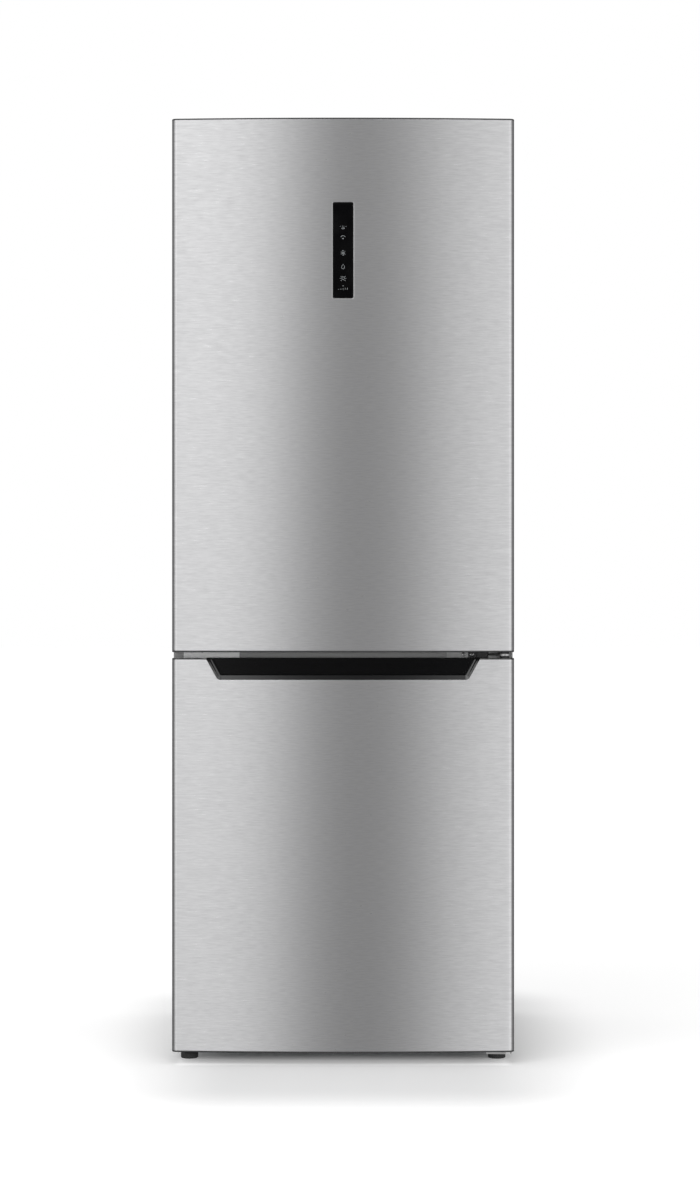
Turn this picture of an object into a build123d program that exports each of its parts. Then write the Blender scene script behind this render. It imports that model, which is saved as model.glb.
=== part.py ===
from build123d import *
import os
from math import hypot

os.makedirs("parts", exist_ok=True)

# A free-standing refrigerator with a freezer below and bowed stainless doors hung on the right.
# Millimetres, +Z up, +X to the right seen from the front, +Y from the doors to the back.
# The origin is on the floor under the middle of the object.

# Outside sizes
width = 700.0
depth = 705.0
floor_gap = 24.0
lower_door_height = 805.0
door_gap = 12.0
upper_door_height = 1090.0

# Door construction
door_bow = 14.0
door_side_depth = 54.0
door_corner = 11.0
skin = 0.8
cap_lip = 3.0
cap_depth = 20.0
cap_rounding = 1.5
door_liner = 2.0
top_step = 31.0
step_margin = 1.5
gasket_depth = 8.0
gasket_width = 20.0
gasket_land = 4.0
gasket_lip = 2.0

# Handle pocket at the top of the lower door, and the grip under the upper one
pocket_top = 558.0
pocket_bottom = 512.0
pocket_height = 41.5
pocket_depth = 40.0
pocket_bezel = 9.0
bezel_depth = 4.0
pocket_corner = 2.0
pocket_wall = 3.0
well_drop = 14.0
grip_setback = 20.0
grip_width = 20.0
grip_height = 12.0

# Touch display in the upper door
display_width = 42.0
display_height = 195.0
display_rise = 819.5
display_glass = 3.0
display_corner = 2.5
display_gap = 0.5
display_recess = 0.4
tray_margin = 5.0
tray_gap = 0.2
tray_depth = 16.0
tray_wall = 2.0
tray_ledge = 3.0
board_margin = 6.0
board_thickness = 1.6
light_guide = 5.0
light_guide_rows = 6

# Hinges
hinge_inset = 18.0
hinge_reach = 32.0
hinge_plate = 4.0
hinge_gap = 3.0
pin_radius = 5.0
pin_length = 16.0
pin_clearance = 0.08
pin_end_gap = 1.0
washer_radius = 8.0
washer_gap = 0.05
top_arm_nose = 9.0
arm_nose = 14.0
arm_base = 30.0
top_base_width = 75.0
top_base_depth = 40.0
top_base_inset = 62.0
top_base_setback = 10.5
cover_height = 24.0
cover_wall = 1.5
cover_margin = 4.0
flange_width = 115.0
flange_height = 28.0
flange_sheet = 1.5
flange_inset = 21.0
foot_plate_width = 50.0
foot_plate_back = 36.5
foot_plate_lead = 12.0
screw_head = 4.5
screw_height = 2.0
screw_shank = 2.5
screw_clearance = 0.05
top_screw_pitch = 22.5
mid_screw_inset = 34.5
mid_screw_pitch = 17.5
blank_screw_rise = 8.0
bottom_screw_inset = 9.0
bottom_screw_setback = 6.5

# Cabinet walls
sheet = 1.0
shell_rounding = 0.6
base_height = 30.0
base_plate = 3.0
fridge_wall = 52.0
freezer_wall = 67.0
ceiling_wall = 52.0
mullion_height = 82.0
floor_wall = 59.0
fridge_back_wall = 62.5
freezer_back_wall = 69.5
cabinet_liner = 2.0
liner_corner = 3.5
machine_depth = 212.5
machine_height = 207.0
machine_side_wall = 25.0
hump_wall = 55.0

# Shelves and their rails
glass = 4.0
rail_width = 14.0
rail_height = 10.0
shelf_setback = 121.5
shelf_back_gap = 35.0
shelf_side_gap = 4.0
shelf_count = 3
shelf_pitch = 176.0
crisper_space = 212.0
trim_height = 12.0
trim_depth = 14.0
trim_wall = 2.5
freezer_shelf_setback = 46.5
freezer_shelf_side_gap = 2.0
freezer_shelf_pitch = 250.0

# Door bins and the ridges that carry them
ridge_width = 20.0
ridge_depth = 58.0
ridge_side_gap = 10.0
ridge_end_gap = 10.0
ridge_rounding = 4.0
bin_depth = 104.5
bin_wall = 2.5
bin_corner = 12.0
bin_side_gap = 5.5
bin_back_gap = 0.5
lug_proud = 5.0
lug_width = 30.0
lug_height = 12.0
lug_gap = 0.3
ledge_height = 4.0
bottle_bin_rise = 30.0
bottle_bin_height = 110.0
bottle_bin_space = 260.0
bin_height = 75.0
bin_pitch = 235.0
lower_panel_inset = 15.0
lower_panel_end_gap = 8.0

# Crispers and freezer drawers
glide_gap = 0.3
crisper_setback = 126.5
crisper_side_gap = 6.0
crisper_middle_gap = 6.0
crisper_height = 199.0
crisper_back_gap = 40.0
tub_wall = 2.5
tub_corner = 8.0
handle_depth = 10.0
handle_height = 18.0
handle_lip = 10.0
drawer_setback = 36.5
drawer_side_gap = 4.0
drawer_headroom = 3.0
drawer_back_gap = 7.0

# Cold parts behind the freezer and the fridge
evaporator_cover_depth = 78.0
evaporator_cover_wall = 2.5
evaporator_cover_gap = 2.0
evaporator_width = 460.0
evaporator_height = 190.0
evaporator_rise = 35.0
evaporator_depth = 55.0
fin_count = 24
fin_thickness = 1.2
coil_tube = 4.0
coil_rows = 4
fan_radius = 55.0
fan_hub = 18.0
fan_depth = 20.0
fan_rise = 345.0
fan_blades = 5
fan_pitch = 32.0
blade_thickness = 1.8
fan_shaft = 2.5
fan_shaft_clearance = 0.05
fan_cover_gap = 10.0
motor_radius = 26.0
motor_depth = 28.0
motor_gap = 3.0
motor_plate = 90.0
motor_plate_height = 24.0
vent_length = 60.0
vent_height = 8.0
vent_pitch = 16.0
duct_width = 260.0
duct_depth = 25.0
duct_end_gap = 12.0
duct_wall = 2.0
lamp_width = 150.0
lamp_length = 60.0
lamp_height = 8.0
lamp_setback = 190.0

# Machine compartment
compressor_radius = 75.0
compressor_height = 154.0
compressor_rounding = 25.0
compressor_side_gap = 205.0
compressor_plate = 3.0
compressor_plate_margin = 25.0
mount_radius = 12.0
mount_height = 15.0
tray_height = 26.0
drip_tray_wall = 2.0
drip_tray_width = 220.0
drip_tray_depth = 160.0
pipe_radius = 3.0
pipe_bend = 16.0
stub_length = 45.0
condenser_gap = 40.0
condenser_side_gap = 25.0
condenser_rise = 32.0
condenser_pitch = 18.0
condenser_runs = 8
bend_ease = 0.08
condenser_back_gap = 52.5
condenser_strap = 12.0
condenser_strap_inset = 40.0
drier_radius = 8.0
drier_length = 30.0
louvre_length = 70.0
louvre_height = 6.0
louvre_pitch = 20.0
louvre_columns = 6
louvre_rows = 5
gland_radius = 11.0
gland_bore = 4.0
gland_depth = 12.0
gland_flange = 2.0
gland_inset = 35.0
gland_rise = 25.0

# Feet and rollers
foot_radius = 18.0
foot_height = 14.0
foot_chamfer = 2.0
foot_inset = 32.0
foot_setback = 14.5
foot_stem = 5.0
foot_stem_top = 60.0
foot_stem_clearance = 0.05
foot_boss = 13.0
foot_boss_gap = 2.5
stem_room = 4.0
roller_radius = 14.0
roller_width = 24.0
roller_inset = 50.0
roller_setback = 52.5
roller_rounding = 3.0
axle_radius = 4.0
axle_clearance = 0.05
cheek = 3.0
cheek_gap = 1.0
cheek_width = 20.0

# Depths of the main faces
y_crown = -depth / 2
y_back = depth / 2
y_edge = y_crown + door_bow
y_door_back = y_edge + door_side_depth
y_front = y_door_back + gasket_depth
y_step = y_edge + door_corner + step_margin
y_liner = y_door_back - door_liner
half = width / 2

# Heights of the doors
lower_bottom = floor_gap
lower_top = lower_bottom + lower_door_height
upper_bottom = lower_top + door_gap
upper_top = upper_bottom + upper_door_height
ledge_top = upper_top - top_step
gap_middle = (lower_top + upper_bottom) / 2

# Cabinet and its two cavities
cabinet_bottom = base_height + base_plate
cabinet_top = ledge_top + hinge_gap
fridge_half = half - fridge_wall
fridge_floor = gap_middle + mullion_height / 2
fridge_ceiling = cabinet_top - ceiling_wall
fridge_back = y_back - fridge_back_wall
freezer_half = half - freezer_wall
freezer_floor = cabinet_bottom + floor_wall
freezer_ceiling = gap_middle - mullion_height / 2
freezer_back = y_back - freezer_back_wall
machine_front = y_back - machine_depth
machine_top = cabinet_bottom + machine_height
machine_half = half - machine_side_wall
hump_front = machine_front - hump_wall
hump_top = machine_top + hump_wall

# Hinge line and its fits
hinge_x = half - hinge_inset
hinge_y = y_front - hinge_reach
bore_radius = pin_radius + pin_clearance
bore_depth = pin_length + pin_end_gap

# Handle pocket
pocket_rim = lower_top - cap_lip
pocket_floor = pocket_rim - pocket_height
pocket_lean = (pocket_top - pocket_bottom) / 2 / pocket_height
pocket_back = y_crown + pocket_depth
bezel_front = y_crown + door_bow * (pocket_top / width) ** 2 + skin
bezel_back = bezel_front + bezel_depth
well_front = bezel_back + pocket_wall
well_floor = pocket_floor + pocket_bezel - well_drop

# Shelves, from the crisper cover up
shelf_front = y_front + shelf_setback
shelf_back = fridge_back - shelf_back_gap
shelf_half = fridge_half - shelf_side_gap
crisper_cover_z = fridge_floor + crisper_space
shelf_names = ["glass_shelf_lower", "glass_shelf_middle", "glass_shelf_top"]
shelf_heights = [crisper_cover_z + shelf_pitch * (number + 1) for number in range(shelf_count)]
freezer_shelf_front = y_front + freezer_shelf_setback
freezer_shelf_back = freezer_back - evaporator_cover_depth - evaporator_cover_gap
freezer_shelf_half = freezer_half - freezer_shelf_side_gap
freezer_shelf_heights = [hump_top, hump_top + freezer_shelf_pitch]

# Door ridges and bins
ridge_outer = fridge_half - ridge_side_gap
ridge_inner = ridge_outer - ridge_width
ridge_back = y_door_back + ridge_depth
ridge_bottom = fridge_floor + ridge_end_gap
ridge_top = fridge_ceiling - ridge_end_gap
bin_half = ridge_inner - bin_side_gap
bin_front = y_door_back + bin_back_gap
bin_back = y_door_back + bin_depth
bottle_bin_floor = fridge_floor + bottle_bin_rise
lower_bin_floor = bottle_bin_floor + bottle_bin_space
bins = [
    ("bottle_bin", bottle_bin_floor, bottle_bin_height),
    ("door_bin_lower", lower_bin_floor, bin_height),
    ("door_bin_middle", lower_bin_floor + bin_pitch, bin_height),
    ("door_bin_top", lower_bin_floor + 2 * bin_pitch, bin_height),
]
lug_y = (bin_front + ridge_back) / 2


def front_plane(y):
    """Upright plane across the object at depth y, seen from the front."""
    return Plane.XZ.offset(-y)


def block(x0, x1, y0, y1, z0, z1, mode=Mode.ADD):
    """Box between two corners, joined to or cut from the piece being made."""
    with Locations(((x0 + x1) / 2, (y0 + y1) / 2, (z0 + z1) / 2)):
        Box(x1 - x0, y1 - y0, z1 - z0, mode=mode)


def rod(x, y, z0, z1, radius, mode=Mode.ADD):
    """Upright cylinder between two heights, joined to or cut from the piece being made."""
    with Locations((x, y, (z0 + z1) / 2)):
        Cylinder(radius, z1 - z0, mode=mode)


def door_plan(height, inset):
    """Plan of a door at a height: bowed front and rounded front edges, set in from the outside."""
    side = half - inset
    with BuildSketch(Plane.XY.offset(height)) as plan:
        with BuildLine():
            ThreePointArc((-side, y_edge + inset), (0, y_crown + inset), (side, y_edge + inset))
            Polyline(
                (side, y_edge + inset),
                (side, y_door_back),
                (-side, y_door_back),
                (-side, y_edge + inset),
            )
        make_face()
        fillet(plan.vertices().sort_by(Axis.Y)[:2], door_corner - inset)
    return plan.sketch


def pocket_half(z, grow):
    """Half-width of the pocket at height z, its slanted sides moved out square to themselves by grow."""
    return pocket_bottom / 2 + pocket_lean * (z - pocket_floor) + grow * hypot(1, pocket_lean)


def pocket_outline(y, grow, bottom, corner):
    """Front view of the pocket at depth y, from its bottom to above the door, with rounded low corners."""
    top = lower_top + cap_lip
    with BuildSketch(front_plane(y)) as outline:
        with BuildLine():
            Polyline(
                (-pocket_half(top, grow), top),
                (-pocket_half(bottom, grow), bottom),
                (pocket_half(bottom, grow), bottom),
                (pocket_half(top, grow), top),
                close=True,
            )
        make_face()
        fillet(outline.vertices().sort_by(Axis.Y)[:2], corner)
    return outline.sketch


def hinge_arm(height, nose, x0, x1, y0, y1):
    """Plan of a hinge arm at a height: the hull of a round nose at the hinge line and its base."""
    with BuildSketch(Plane.XY.offset(height)) as plan:
        with Locations((hinge_x, hinge_y)):
            Circle(nose)
        with Locations(((x0 + x1) / 2, (y0 + y1) / 2)):
            Rectangle(x1 - x0, y1 - y0)
        make_hull()
    return plan.sketch


def gasket_frame(cavity_half, cavity_bottom, cavity_top):
    """Door seal round a cavity's mouth: a flat frame with a narrower lip that meets the cabinet."""
    inner = cavity_half + gasket_land
    outer = inner + gasket_width
    low = cavity_bottom - gasket_land
    high = cavity_top + gasket_land
    y_lip = y_front - gasket_depth / 2
    block(-outer, outer, y_door_back, y_front, low - gasket_width, high + gasket_width)
    block(-inner, inner, y_door_back, y_front, low, high, Mode.SUBTRACT)
    block(
        -inner - gasket_lip,
        inner + gasket_lip,
        y_lip,
        y_front,
        low - gasket_lip,
        high + gasket_lip,
        Mode.SUBTRACT,
    )


def tub(x0, x1, y0, y1, z0, z1):
    """Open tray with rounded upright edges, standing on z0."""
    middle = ((x0 + x1) / 2, (y0 + y1) / 2)
    with BuildSketch(Plane.XY.offset(z0)) as outside:
        with Locations(middle):
            RectangleRounded(x1 - x0, y1 - y0, tub_corner)
    extrude(outside.sketch, amount=z1 - z0)
    with BuildSketch(Plane.XY.offset(z0 + tub_wall)) as inside:
        with Locations(middle):
            RectangleRounded(x1 - x0 - 2 * tub_wall, y1 - y0 - 2 * tub_wall, tub_corner - tub_wall)
    extrude(inside.sketch, amount=z1 - z0 - tub_wall, mode=Mode.SUBTRACT)


def pull_handle(x0, x1, y_wall, z_top):
    """Ledge along a tray's front wall with a lip that fingers hook behind."""
    y0 = y_wall - handle_depth
    block(x0, x1, y0, y_wall, z_top - handle_lip, z_top)
    block(x0, x1, y0, y0 + tub_wall, z_top - handle_height, z_top)


# Upper door: stainless sheet wrapped round the front and sides
upper_sheet_bottom = upper_bottom + cap_lip
upper_sheet_top = upper_top - cap_lip
display_z = upper_bottom + display_rise
with BuildPart() as upper_door_skin:
    extrude(door_plan(upper_sheet_bottom, 0), amount=upper_sheet_top - upper_sheet_bottom)
    extrude(
        door_plan(upper_sheet_bottom, skin),
        amount=upper_sheet_top - upper_sheet_bottom,
        mode=Mode.SUBTRACT,
    )
    block(-half, half, y_step, y_door_back, ledge_top - cap_lip, upper_top, Mode.SUBTRACT)
    with BuildSketch(front_plane(y_crown)) as display_window:
        with Locations((0, display_z)):
            RectangleRounded(
                display_width + 2 * display_gap,
                display_height + 2 * display_gap,
                display_corner + display_gap,
            )
    extrude(amount=-tray_depth, mode=Mode.SUBTRACT)
upper_door_skin.part.label = "upper_door_skin"
export_step(upper_door_skin.part, "parts/upper_door_skin.step")

# Upper door: top cap, raised at the front and stepped down behind for the hinge
upper_cap_bottom = ledge_top - cap_depth
with BuildPart() as upper_door_top_cap:
    extrude(door_plan(upper_sheet_top, 0), amount=cap_lip)
    rim = upper_door_top_cap.edges().group_by(Axis.Z)[-1].sort_by(Axis.Y)[:-1]
    fillet(rim, cap_rounding)
    extrude(door_plan(upper_cap_bottom, skin), amount=upper_sheet_top - upper_cap_bottom)
    block(-half, half, y_step, y_door_back, ledge_top, upper_top, Mode.SUBTRACT)
    block(-half, half, y_step, y_door_back, ledge_top - cap_lip, ledge_top)
    rod(hinge_x, hinge_y, ledge_top - bore_depth, ledge_top, bore_radius, Mode.SUBTRACT)
upper_door_top_cap.part.label = "upper_door_top_cap"
export_step(upper_door_top_cap.part, "parts/upper_door_top_cap.step")

# Upper door: bottom cap with the grip groove on its underside
with BuildPart() as upper_door_bottom_cap:
    extrude(door_plan(upper_bottom, 0), amount=cap_lip)
    rim = upper_door_bottom_cap.edges().group_by(Axis.Z)[0].sort_by(Axis.Y)[:-1]
    fillet(rim, cap_rounding)
    extrude(door_plan(upper_sheet_bottom, skin), amount=cap_depth - cap_lip)
    block(
        -pocket_bottom / 2,
        pocket_bottom / 2,
        y_crown + grip_setback,
        y_crown + grip_setback + grip_width,
        upper_bottom,
        upper_bottom + grip_height,
        Mode.SUBTRACT,
    )
    rod(hinge_x, hinge_y, upper_bottom, upper_bottom + bore_depth, bore_radius, Mode.SUBTRACT)
upper_door_bottom_cap.part.label = "upper_door_bottom_cap"
export_step(upper_door_bottom_cap.part, "parts/upper_door_bottom_cap.step")

# Display: a plastic tray behind the sheet, a circuit board on its floor and a glass front
tray_front = y_crown + skin + tray_gap
tray_back = tray_front + tray_depth
tray_half = display_width / 2 + tray_margin
tray_bottom = display_z - display_height / 2 - tray_margin
tray_top = display_z + display_height / 2 + tray_margin
glass_front = y_crown + display_recess
glass_back = glass_front + display_glass
with BuildPart() as display_tray:
    block(-tray_half, tray_half, tray_front, tray_back, tray_bottom, tray_top)
    with BuildSketch(front_plane(tray_front)) as glass_seat:
        with Locations((0, display_z)):
            RectangleRounded(display_width, display_height, display_corner)
    extrude(amount=tray_front - glass_back, mode=Mode.SUBTRACT)
    block(
        -display_width / 2 + tray_ledge,
        display_width / 2 - tray_ledge,
        glass_back,
        tray_back - tray_wall,
        display_z - display_height / 2 + tray_ledge,
        display_z + display_height / 2 - tray_ledge,
        Mode.SUBTRACT,
    )
display_tray.part.label = "display_tray"
export_step(display_tray.part, "parts/display_tray.step")

with BuildPart() as display_panel:
    with BuildSketch(front_plane(glass_front)) as display_outline:
        with Locations((0, display_z)):
            RectangleRounded(display_width, display_height, display_corner)
    extrude(amount=-display_glass)
display_panel.part.label = "display_panel"
export_step(display_panel.part, "parts/display_panel.step")

board_back = tray_back - tray_wall
with BuildPart() as display_board:
    with BuildSketch(front_plane(board_back)) as board_outline:
        with Locations((0, display_z)):
            Rectangle(display_width - 2 * board_margin, display_height - 2 * board_margin)
    extrude(amount=board_thickness)
    with BuildSketch(front_plane(board_back - board_thickness)) as light_guides:
        with Locations((0, display_z)):
            with GridLocations(0, display_height / (light_guide_rows + 1), 1, light_guide_rows):
                Circle(light_guide)
    extrude(amount=light_guide)
display_board.part.label = "display_board"
export_step(display_board.part, "parts/display_board.step")

# Upper door: moulded inner liner with two upright ridges and the lugs that the bins hang on
with BuildPart() as upper_door_liner:
    block(
        -half + skin,
        half - skin,
        y_liner,
        y_door_back,
        upper_bottom + cap_depth,
        upper_cap_bottom,
    )
    for side in (-1, 1):
        block(
            *sorted((side * ridge_inner, side * ridge_outer)),
            y_liner,
            ridge_back,
            ridge_bottom,
            ridge_top,
        )
    ridge_edges = upper_door_liner.edges().filter_by(Axis.Z).group_by(Axis.Y)[-1]
    fillet(ridge_edges, ridge_rounding)
    for side in (-1, 1):
        block(
            *sorted((side * (ridge_inner + door_liner), side * (ridge_outer - door_liner))),
            y_liner,
            ridge_back - door_liner,
            ridge_bottom + door_liner,
            ridge_top - door_liner,
            Mode.SUBTRACT,
        )
        for _, bin_floor, tall in bins:
            lug_top = bin_floor + tall - ledge_height - lug_gap
            block(
                *sorted((side * (ridge_inner - lug_proud), side * ridge_inner)),
                lug_y - lug_width / 2,
                lug_y + lug_width / 2,
                lug_top - lug_height,
                lug_top,
            )
upper_door_liner.part.label = "upper_door_liner"
export_step(upper_door_liner.part, "parts/upper_door_liner.step")

# Upper door: foam between the sheet, the caps and the liner
with BuildPart() as upper_door_foam:
    extrude(
        door_plan(upper_bottom + cap_depth, skin),
        amount=upper_cap_bottom - upper_bottom - cap_depth,
    )
    block(-half, half, y_liner, y_door_back, upper_bottom, upper_top, Mode.SUBTRACT)
    block(-tray_half, tray_half, y_crown, tray_back, tray_bottom, tray_top, Mode.SUBTRACT)
    for side in (-1, 1):
        block(
            *sorted((side * (ridge_inner + door_liner), side * (ridge_outer - door_liner))),
            y_liner,
            ridge_back - door_liner,
            ridge_bottom + door_liner,
            ridge_top - door_liner,
        )
upper_door_foam.part.label = "upper_door_foam"
export_step(upper_door_foam.part, "parts/upper_door_foam.step")

with BuildPart() as upper_door_gasket:
    gasket_frame(fridge_half, fridge_floor, fridge_ceiling)
upper_door_gasket.part.label = "upper_door_gasket"
export_step(upper_door_gasket.part, "parts/upper_door_gasket.step")

# Bins that hang on the door's lugs by a ledge on each side
for bin_name, bin_floor, tall in bins:
    with BuildPart() as door_bin:
        with BuildSketch(Plane.XY.offset(bin_floor)) as bin_plan:
            with Locations((0, (bin_front + bin_back) / 2)):
                Rectangle(2 * bin_half, bin_back - bin_front)
            fillet(bin_plan.vertices().sort_by(Axis.Y)[-2:], bin_corner)
        extrude(amount=tall)
        with BuildSketch(Plane.XY.offset(bin_floor + bin_wall)) as bin_room:
            with Locations((0, (bin_front + bin_back) / 2)):
                Rectangle(2 * (bin_half - bin_wall), bin_back - bin_front - 2 * bin_wall)
            fillet(bin_room.vertices().sort_by(Axis.Y)[-2:], bin_corner - bin_wall)
        extrude(amount=tall - bin_wall, mode=Mode.SUBTRACT)
        for side in (-1, 1):
            block(
                *sorted((side * bin_half, side * (bin_half + lug_proud))),
                lug_y - lug_width / 2,
                lug_y + lug_width / 2,
                bin_floor + tall - ledge_height,
                bin_floor + tall,
            )
    door_bin.part.label = bin_name
    export_step(door_bin.part, f"parts/{bin_name}.step")

# Lower door: stainless sheet with the pocket cut into its top edge
lower_sheet_bottom = lower_bottom + cap_lip
with BuildPart() as lower_door_skin:
    extrude(door_plan(lower_sheet_bottom, 0), amount=pocket_rim - lower_sheet_bottom)
    extrude(door_plan(lower_sheet_bottom, skin), amount=pocket_rim - lower_sheet_bottom, mode=Mode.SUBTRACT)
    extrude(
        pocket_outline(y_crown, 0, pocket_floor, pocket_corner + pocket_bezel),
        amount=-pocket_depth,
        mode=Mode.SUBTRACT,
    )
lower_door_skin.part.label = "lower_door_skin"
export_step(lower_door_skin.part, "parts/lower_door_skin.step")

# Lower door: top cap, one moulding with the handle pocket, its chamfered bezel and its finger well
with BuildPart() as lower_door_top_cap:
    extrude(
        pocket_outline(y_crown, pocket_wall, pocket_floor - pocket_wall, pocket_corner + pocket_bezel),
        amount=-pocket_depth - pocket_wall,
    )
    extrude(
        door_plan(pocket_floor - pocket_wall, skin),
        amount=pocket_height + pocket_wall,
        mode=Mode.INTERSECT,
    )
    block(
        -pocket_bottom / 2,
        pocket_bottom / 2,
        well_front - pocket_wall,
        pocket_back + pocket_wall,
        well_floor - pocket_wall,
        pocket_floor,
    )
    extrude(door_plan(lower_top - cap_depth, skin), amount=cap_depth - cap_lip)
    mouth = pocket_outline(bezel_front, 0, pocket_floor, pocket_corner + pocket_bezel)
    throat = pocket_outline(bezel_back, -pocket_bezel, pocket_floor + pocket_bezel, pocket_corner)
    extrude(mouth, amount=bezel_front - y_crown, mode=Mode.SUBTRACT)
    loft([mouth, throat], ruled=True, mode=Mode.SUBTRACT)
    extrude(throat, amount=bezel_back - pocket_back, mode=Mode.SUBTRACT)
    extrude(door_plan(pocket_rim, 0), amount=cap_lip)
    rim = lower_door_top_cap.edges().group_by(Axis.Z)[-1].sort_by(Axis.Y)[:-1]
    fillet(rim, cap_rounding)
    extrude(
        pocket_outline(y_crown, 0, pocket_rim, cap_rounding),
        amount=-pocket_depth,
        mode=Mode.SUBTRACT,
    )
    block(
        -pocket_bottom / 2 + pocket_wall,
        pocket_bottom / 2 - pocket_wall,
        well_front,
        pocket_back,
        well_floor,
        pocket_floor + pocket_bezel,
        Mode.SUBTRACT,
    )
    rod(hinge_x, hinge_y, lower_top - bore_depth, lower_top, bore_radius, Mode.SUBTRACT)
lower_door_top_cap.part.label = "lower_door_top_cap"
export_step(lower_door_top_cap.part, "parts/lower_door_top_cap.step")

with BuildPart() as lower_door_bottom_cap:
    extrude(door_plan(lower_bottom, 0), amount=cap_lip)
    rim = lower_door_bottom_cap.edges().group_by(Axis.Z)[0].sort_by(Axis.Y)[:-1]
    fillet(rim, cap_rounding)
    extrude(door_plan(lower_sheet_bottom, skin), amount=cap_depth - cap_lip)
    rod(hinge_x, hinge_y, lower_bottom, lower_bottom + bore_depth, bore_radius, Mode.SUBTRACT)
lower_door_bottom_cap.part.label = "lower_door_bottom_cap"
export_step(lower_door_bottom_cap.part, "parts/lower_door_bottom_cap.step")

# Lower door: flat liner with a raised panel that fills the freezer's mouth
lower_panel_half = freezer_half - lower_panel_inset
with BuildPart() as lower_door_liner:
    block(
        -half + skin,
        half - skin,
        y_liner,
        y_door_back,
        lower_bottom + cap_depth,
        lower_top - cap_depth,
    )
    block(
        -lower_panel_half,
        lower_panel_half,
        y_door_back,
        y_front,
        freezer_floor + lower_panel_end_gap,
        freezer_ceiling - lower_panel_end_gap,
    )
    fillet(lower_door_liner.edges().group_by(Axis.Y)[-1], ridge_rounding)
lower_door_liner.part.label = "lower_door_liner"
export_step(lower_door_liner.part, "parts/lower_door_liner.step")

with BuildPart() as lower_door_foam:
    extrude(
        door_plan(lower_bottom + cap_depth, skin),
        amount=lower_door_height - 2 * cap_depth,
    )
    block(-half, half, y_liner, y_door_back, lower_bottom, lower_top, Mode.SUBTRACT)
    extrude(
        pocket_outline(y_crown, pocket_wall, pocket_floor - pocket_wall, pocket_corner + pocket_bezel),
        amount=-pocket_depth - pocket_wall,
        mode=Mode.SUBTRACT,
    )
    block(
        -pocket_bottom / 2,
        pocket_bottom / 2,
        well_front - pocket_wall,
        pocket_back + pocket_wall,
        well_floor - pocket_wall,
        pocket_floor,
        Mode.SUBTRACT,
    )
lower_door_foam.part.label = "lower_door_foam"
export_step(lower_door_foam.part, "parts/lower_door_foam.step")

with BuildPart() as lower_door_gasket:
    gasket_frame(freezer_half, freezer_floor, freezer_ceiling)
lower_door_gasket.part.label = "lower_door_gasket"
export_step(lower_door_gasket.part, "parts/lower_door_gasket.step")

# Cabinet: painted sheet round the sides, the top and the front edges
fridge_mouth = fridge_half + cabinet_liner
freezer_mouth = freezer_half + cabinet_liner
with BuildPart() as cabinet_shell:
    block(-half, half, y_front, y_back - sheet, cabinet_bottom, cabinet_top)
    outer_edges = cabinet_shell.edges().filter_by(Axis.Y).group_by(Axis.Z)[-1]
    fillet(outer_edges, shell_rounding)
    block(
        -half + sheet,
        half - sheet,
        y_front + sheet,
        y_back - sheet,
        cabinet_bottom,
        cabinet_top - sheet,
        Mode.SUBTRACT,
    )
    block(
        -fridge_mouth,
        fridge_mouth,
        y_front,
        y_front + sheet,
        freezer_ceiling + cabinet_liner,
        fridge_ceiling + cabinet_liner,
        Mode.SUBTRACT,
    )
    block(
        -freezer_mouth,
        freezer_mouth,
        y_front,
        y_front + sheet,
        freezer_floor - cabinet_liner,
        freezer_ceiling + cabinet_liner,
        Mode.SUBTRACT,
    )
cabinet_shell.part.label = "cabinet_shell"
export_step(cabinet_shell.part, "parts/cabinet_shell.step")

with BuildPart() as mullion_plate:
    block(
        -fridge_mouth,
        fridge_mouth,
        y_front,
        y_front + sheet,
        freezer_ceiling + cabinet_liner,
        fridge_floor - cabinet_liner,
    )
mullion_plate.part.label = "mullion_plate"
export_step(mullion_plate.part, "parts/mullion_plate.step")

with BuildPart() as back_panel:
    block(-half, half, y_back - sheet, y_back, machine_top, cabinet_top)
back_panel.part.label = "back_panel"
export_step(back_panel.part, "parts/back_panel.step")

# Cabinet: foam round the two cavities, stepped over the machine compartment
foot_x = half - foot_inset
foot_y = y_front + foot_setback
stem_radius = foot_stem + foot_stem_clearance
with BuildPart() as insulation_foam:
    block(
        -half + sheet,
        half - sheet,
        y_front + sheet,
        y_back - sheet,
        cabinet_bottom,
        cabinet_top - sheet,
    )
    block(
        -fridge_mouth,
        fridge_mouth,
        y_front,
        fridge_back + cabinet_liner,
        fridge_floor - cabinet_liner,
        fridge_ceiling + cabinet_liner,
        Mode.SUBTRACT,
    )
    block(
        -freezer_mouth,
        freezer_mouth,
        y_front,
        freezer_back + cabinet_liner,
        hump_top - cabinet_liner,
        freezer_ceiling + cabinet_liner,
        Mode.SUBTRACT,
    )
    block(
        -freezer_mouth,
        freezer_mouth,
        y_front,
        hump_front + cabinet_liner,
        freezer_floor - cabinet_liner,
        hump_top,
        Mode.SUBTRACT,
    )
    block(-machine_half, machine_half, machine_front, y_back, cabinet_bottom, machine_top, Mode.SUBTRACT)
    for side in (-1, 1):
        rod(
            side * foot_x,
            foot_y,
            cabinet_bottom,
            foot_stem_top + stem_room,
            foot_stem + stem_room,
            Mode.SUBTRACT,
        )
insulation_foam.part.label = "insulation_foam"
export_step(insulation_foam.part, "parts/insulation_foam.step")

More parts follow.
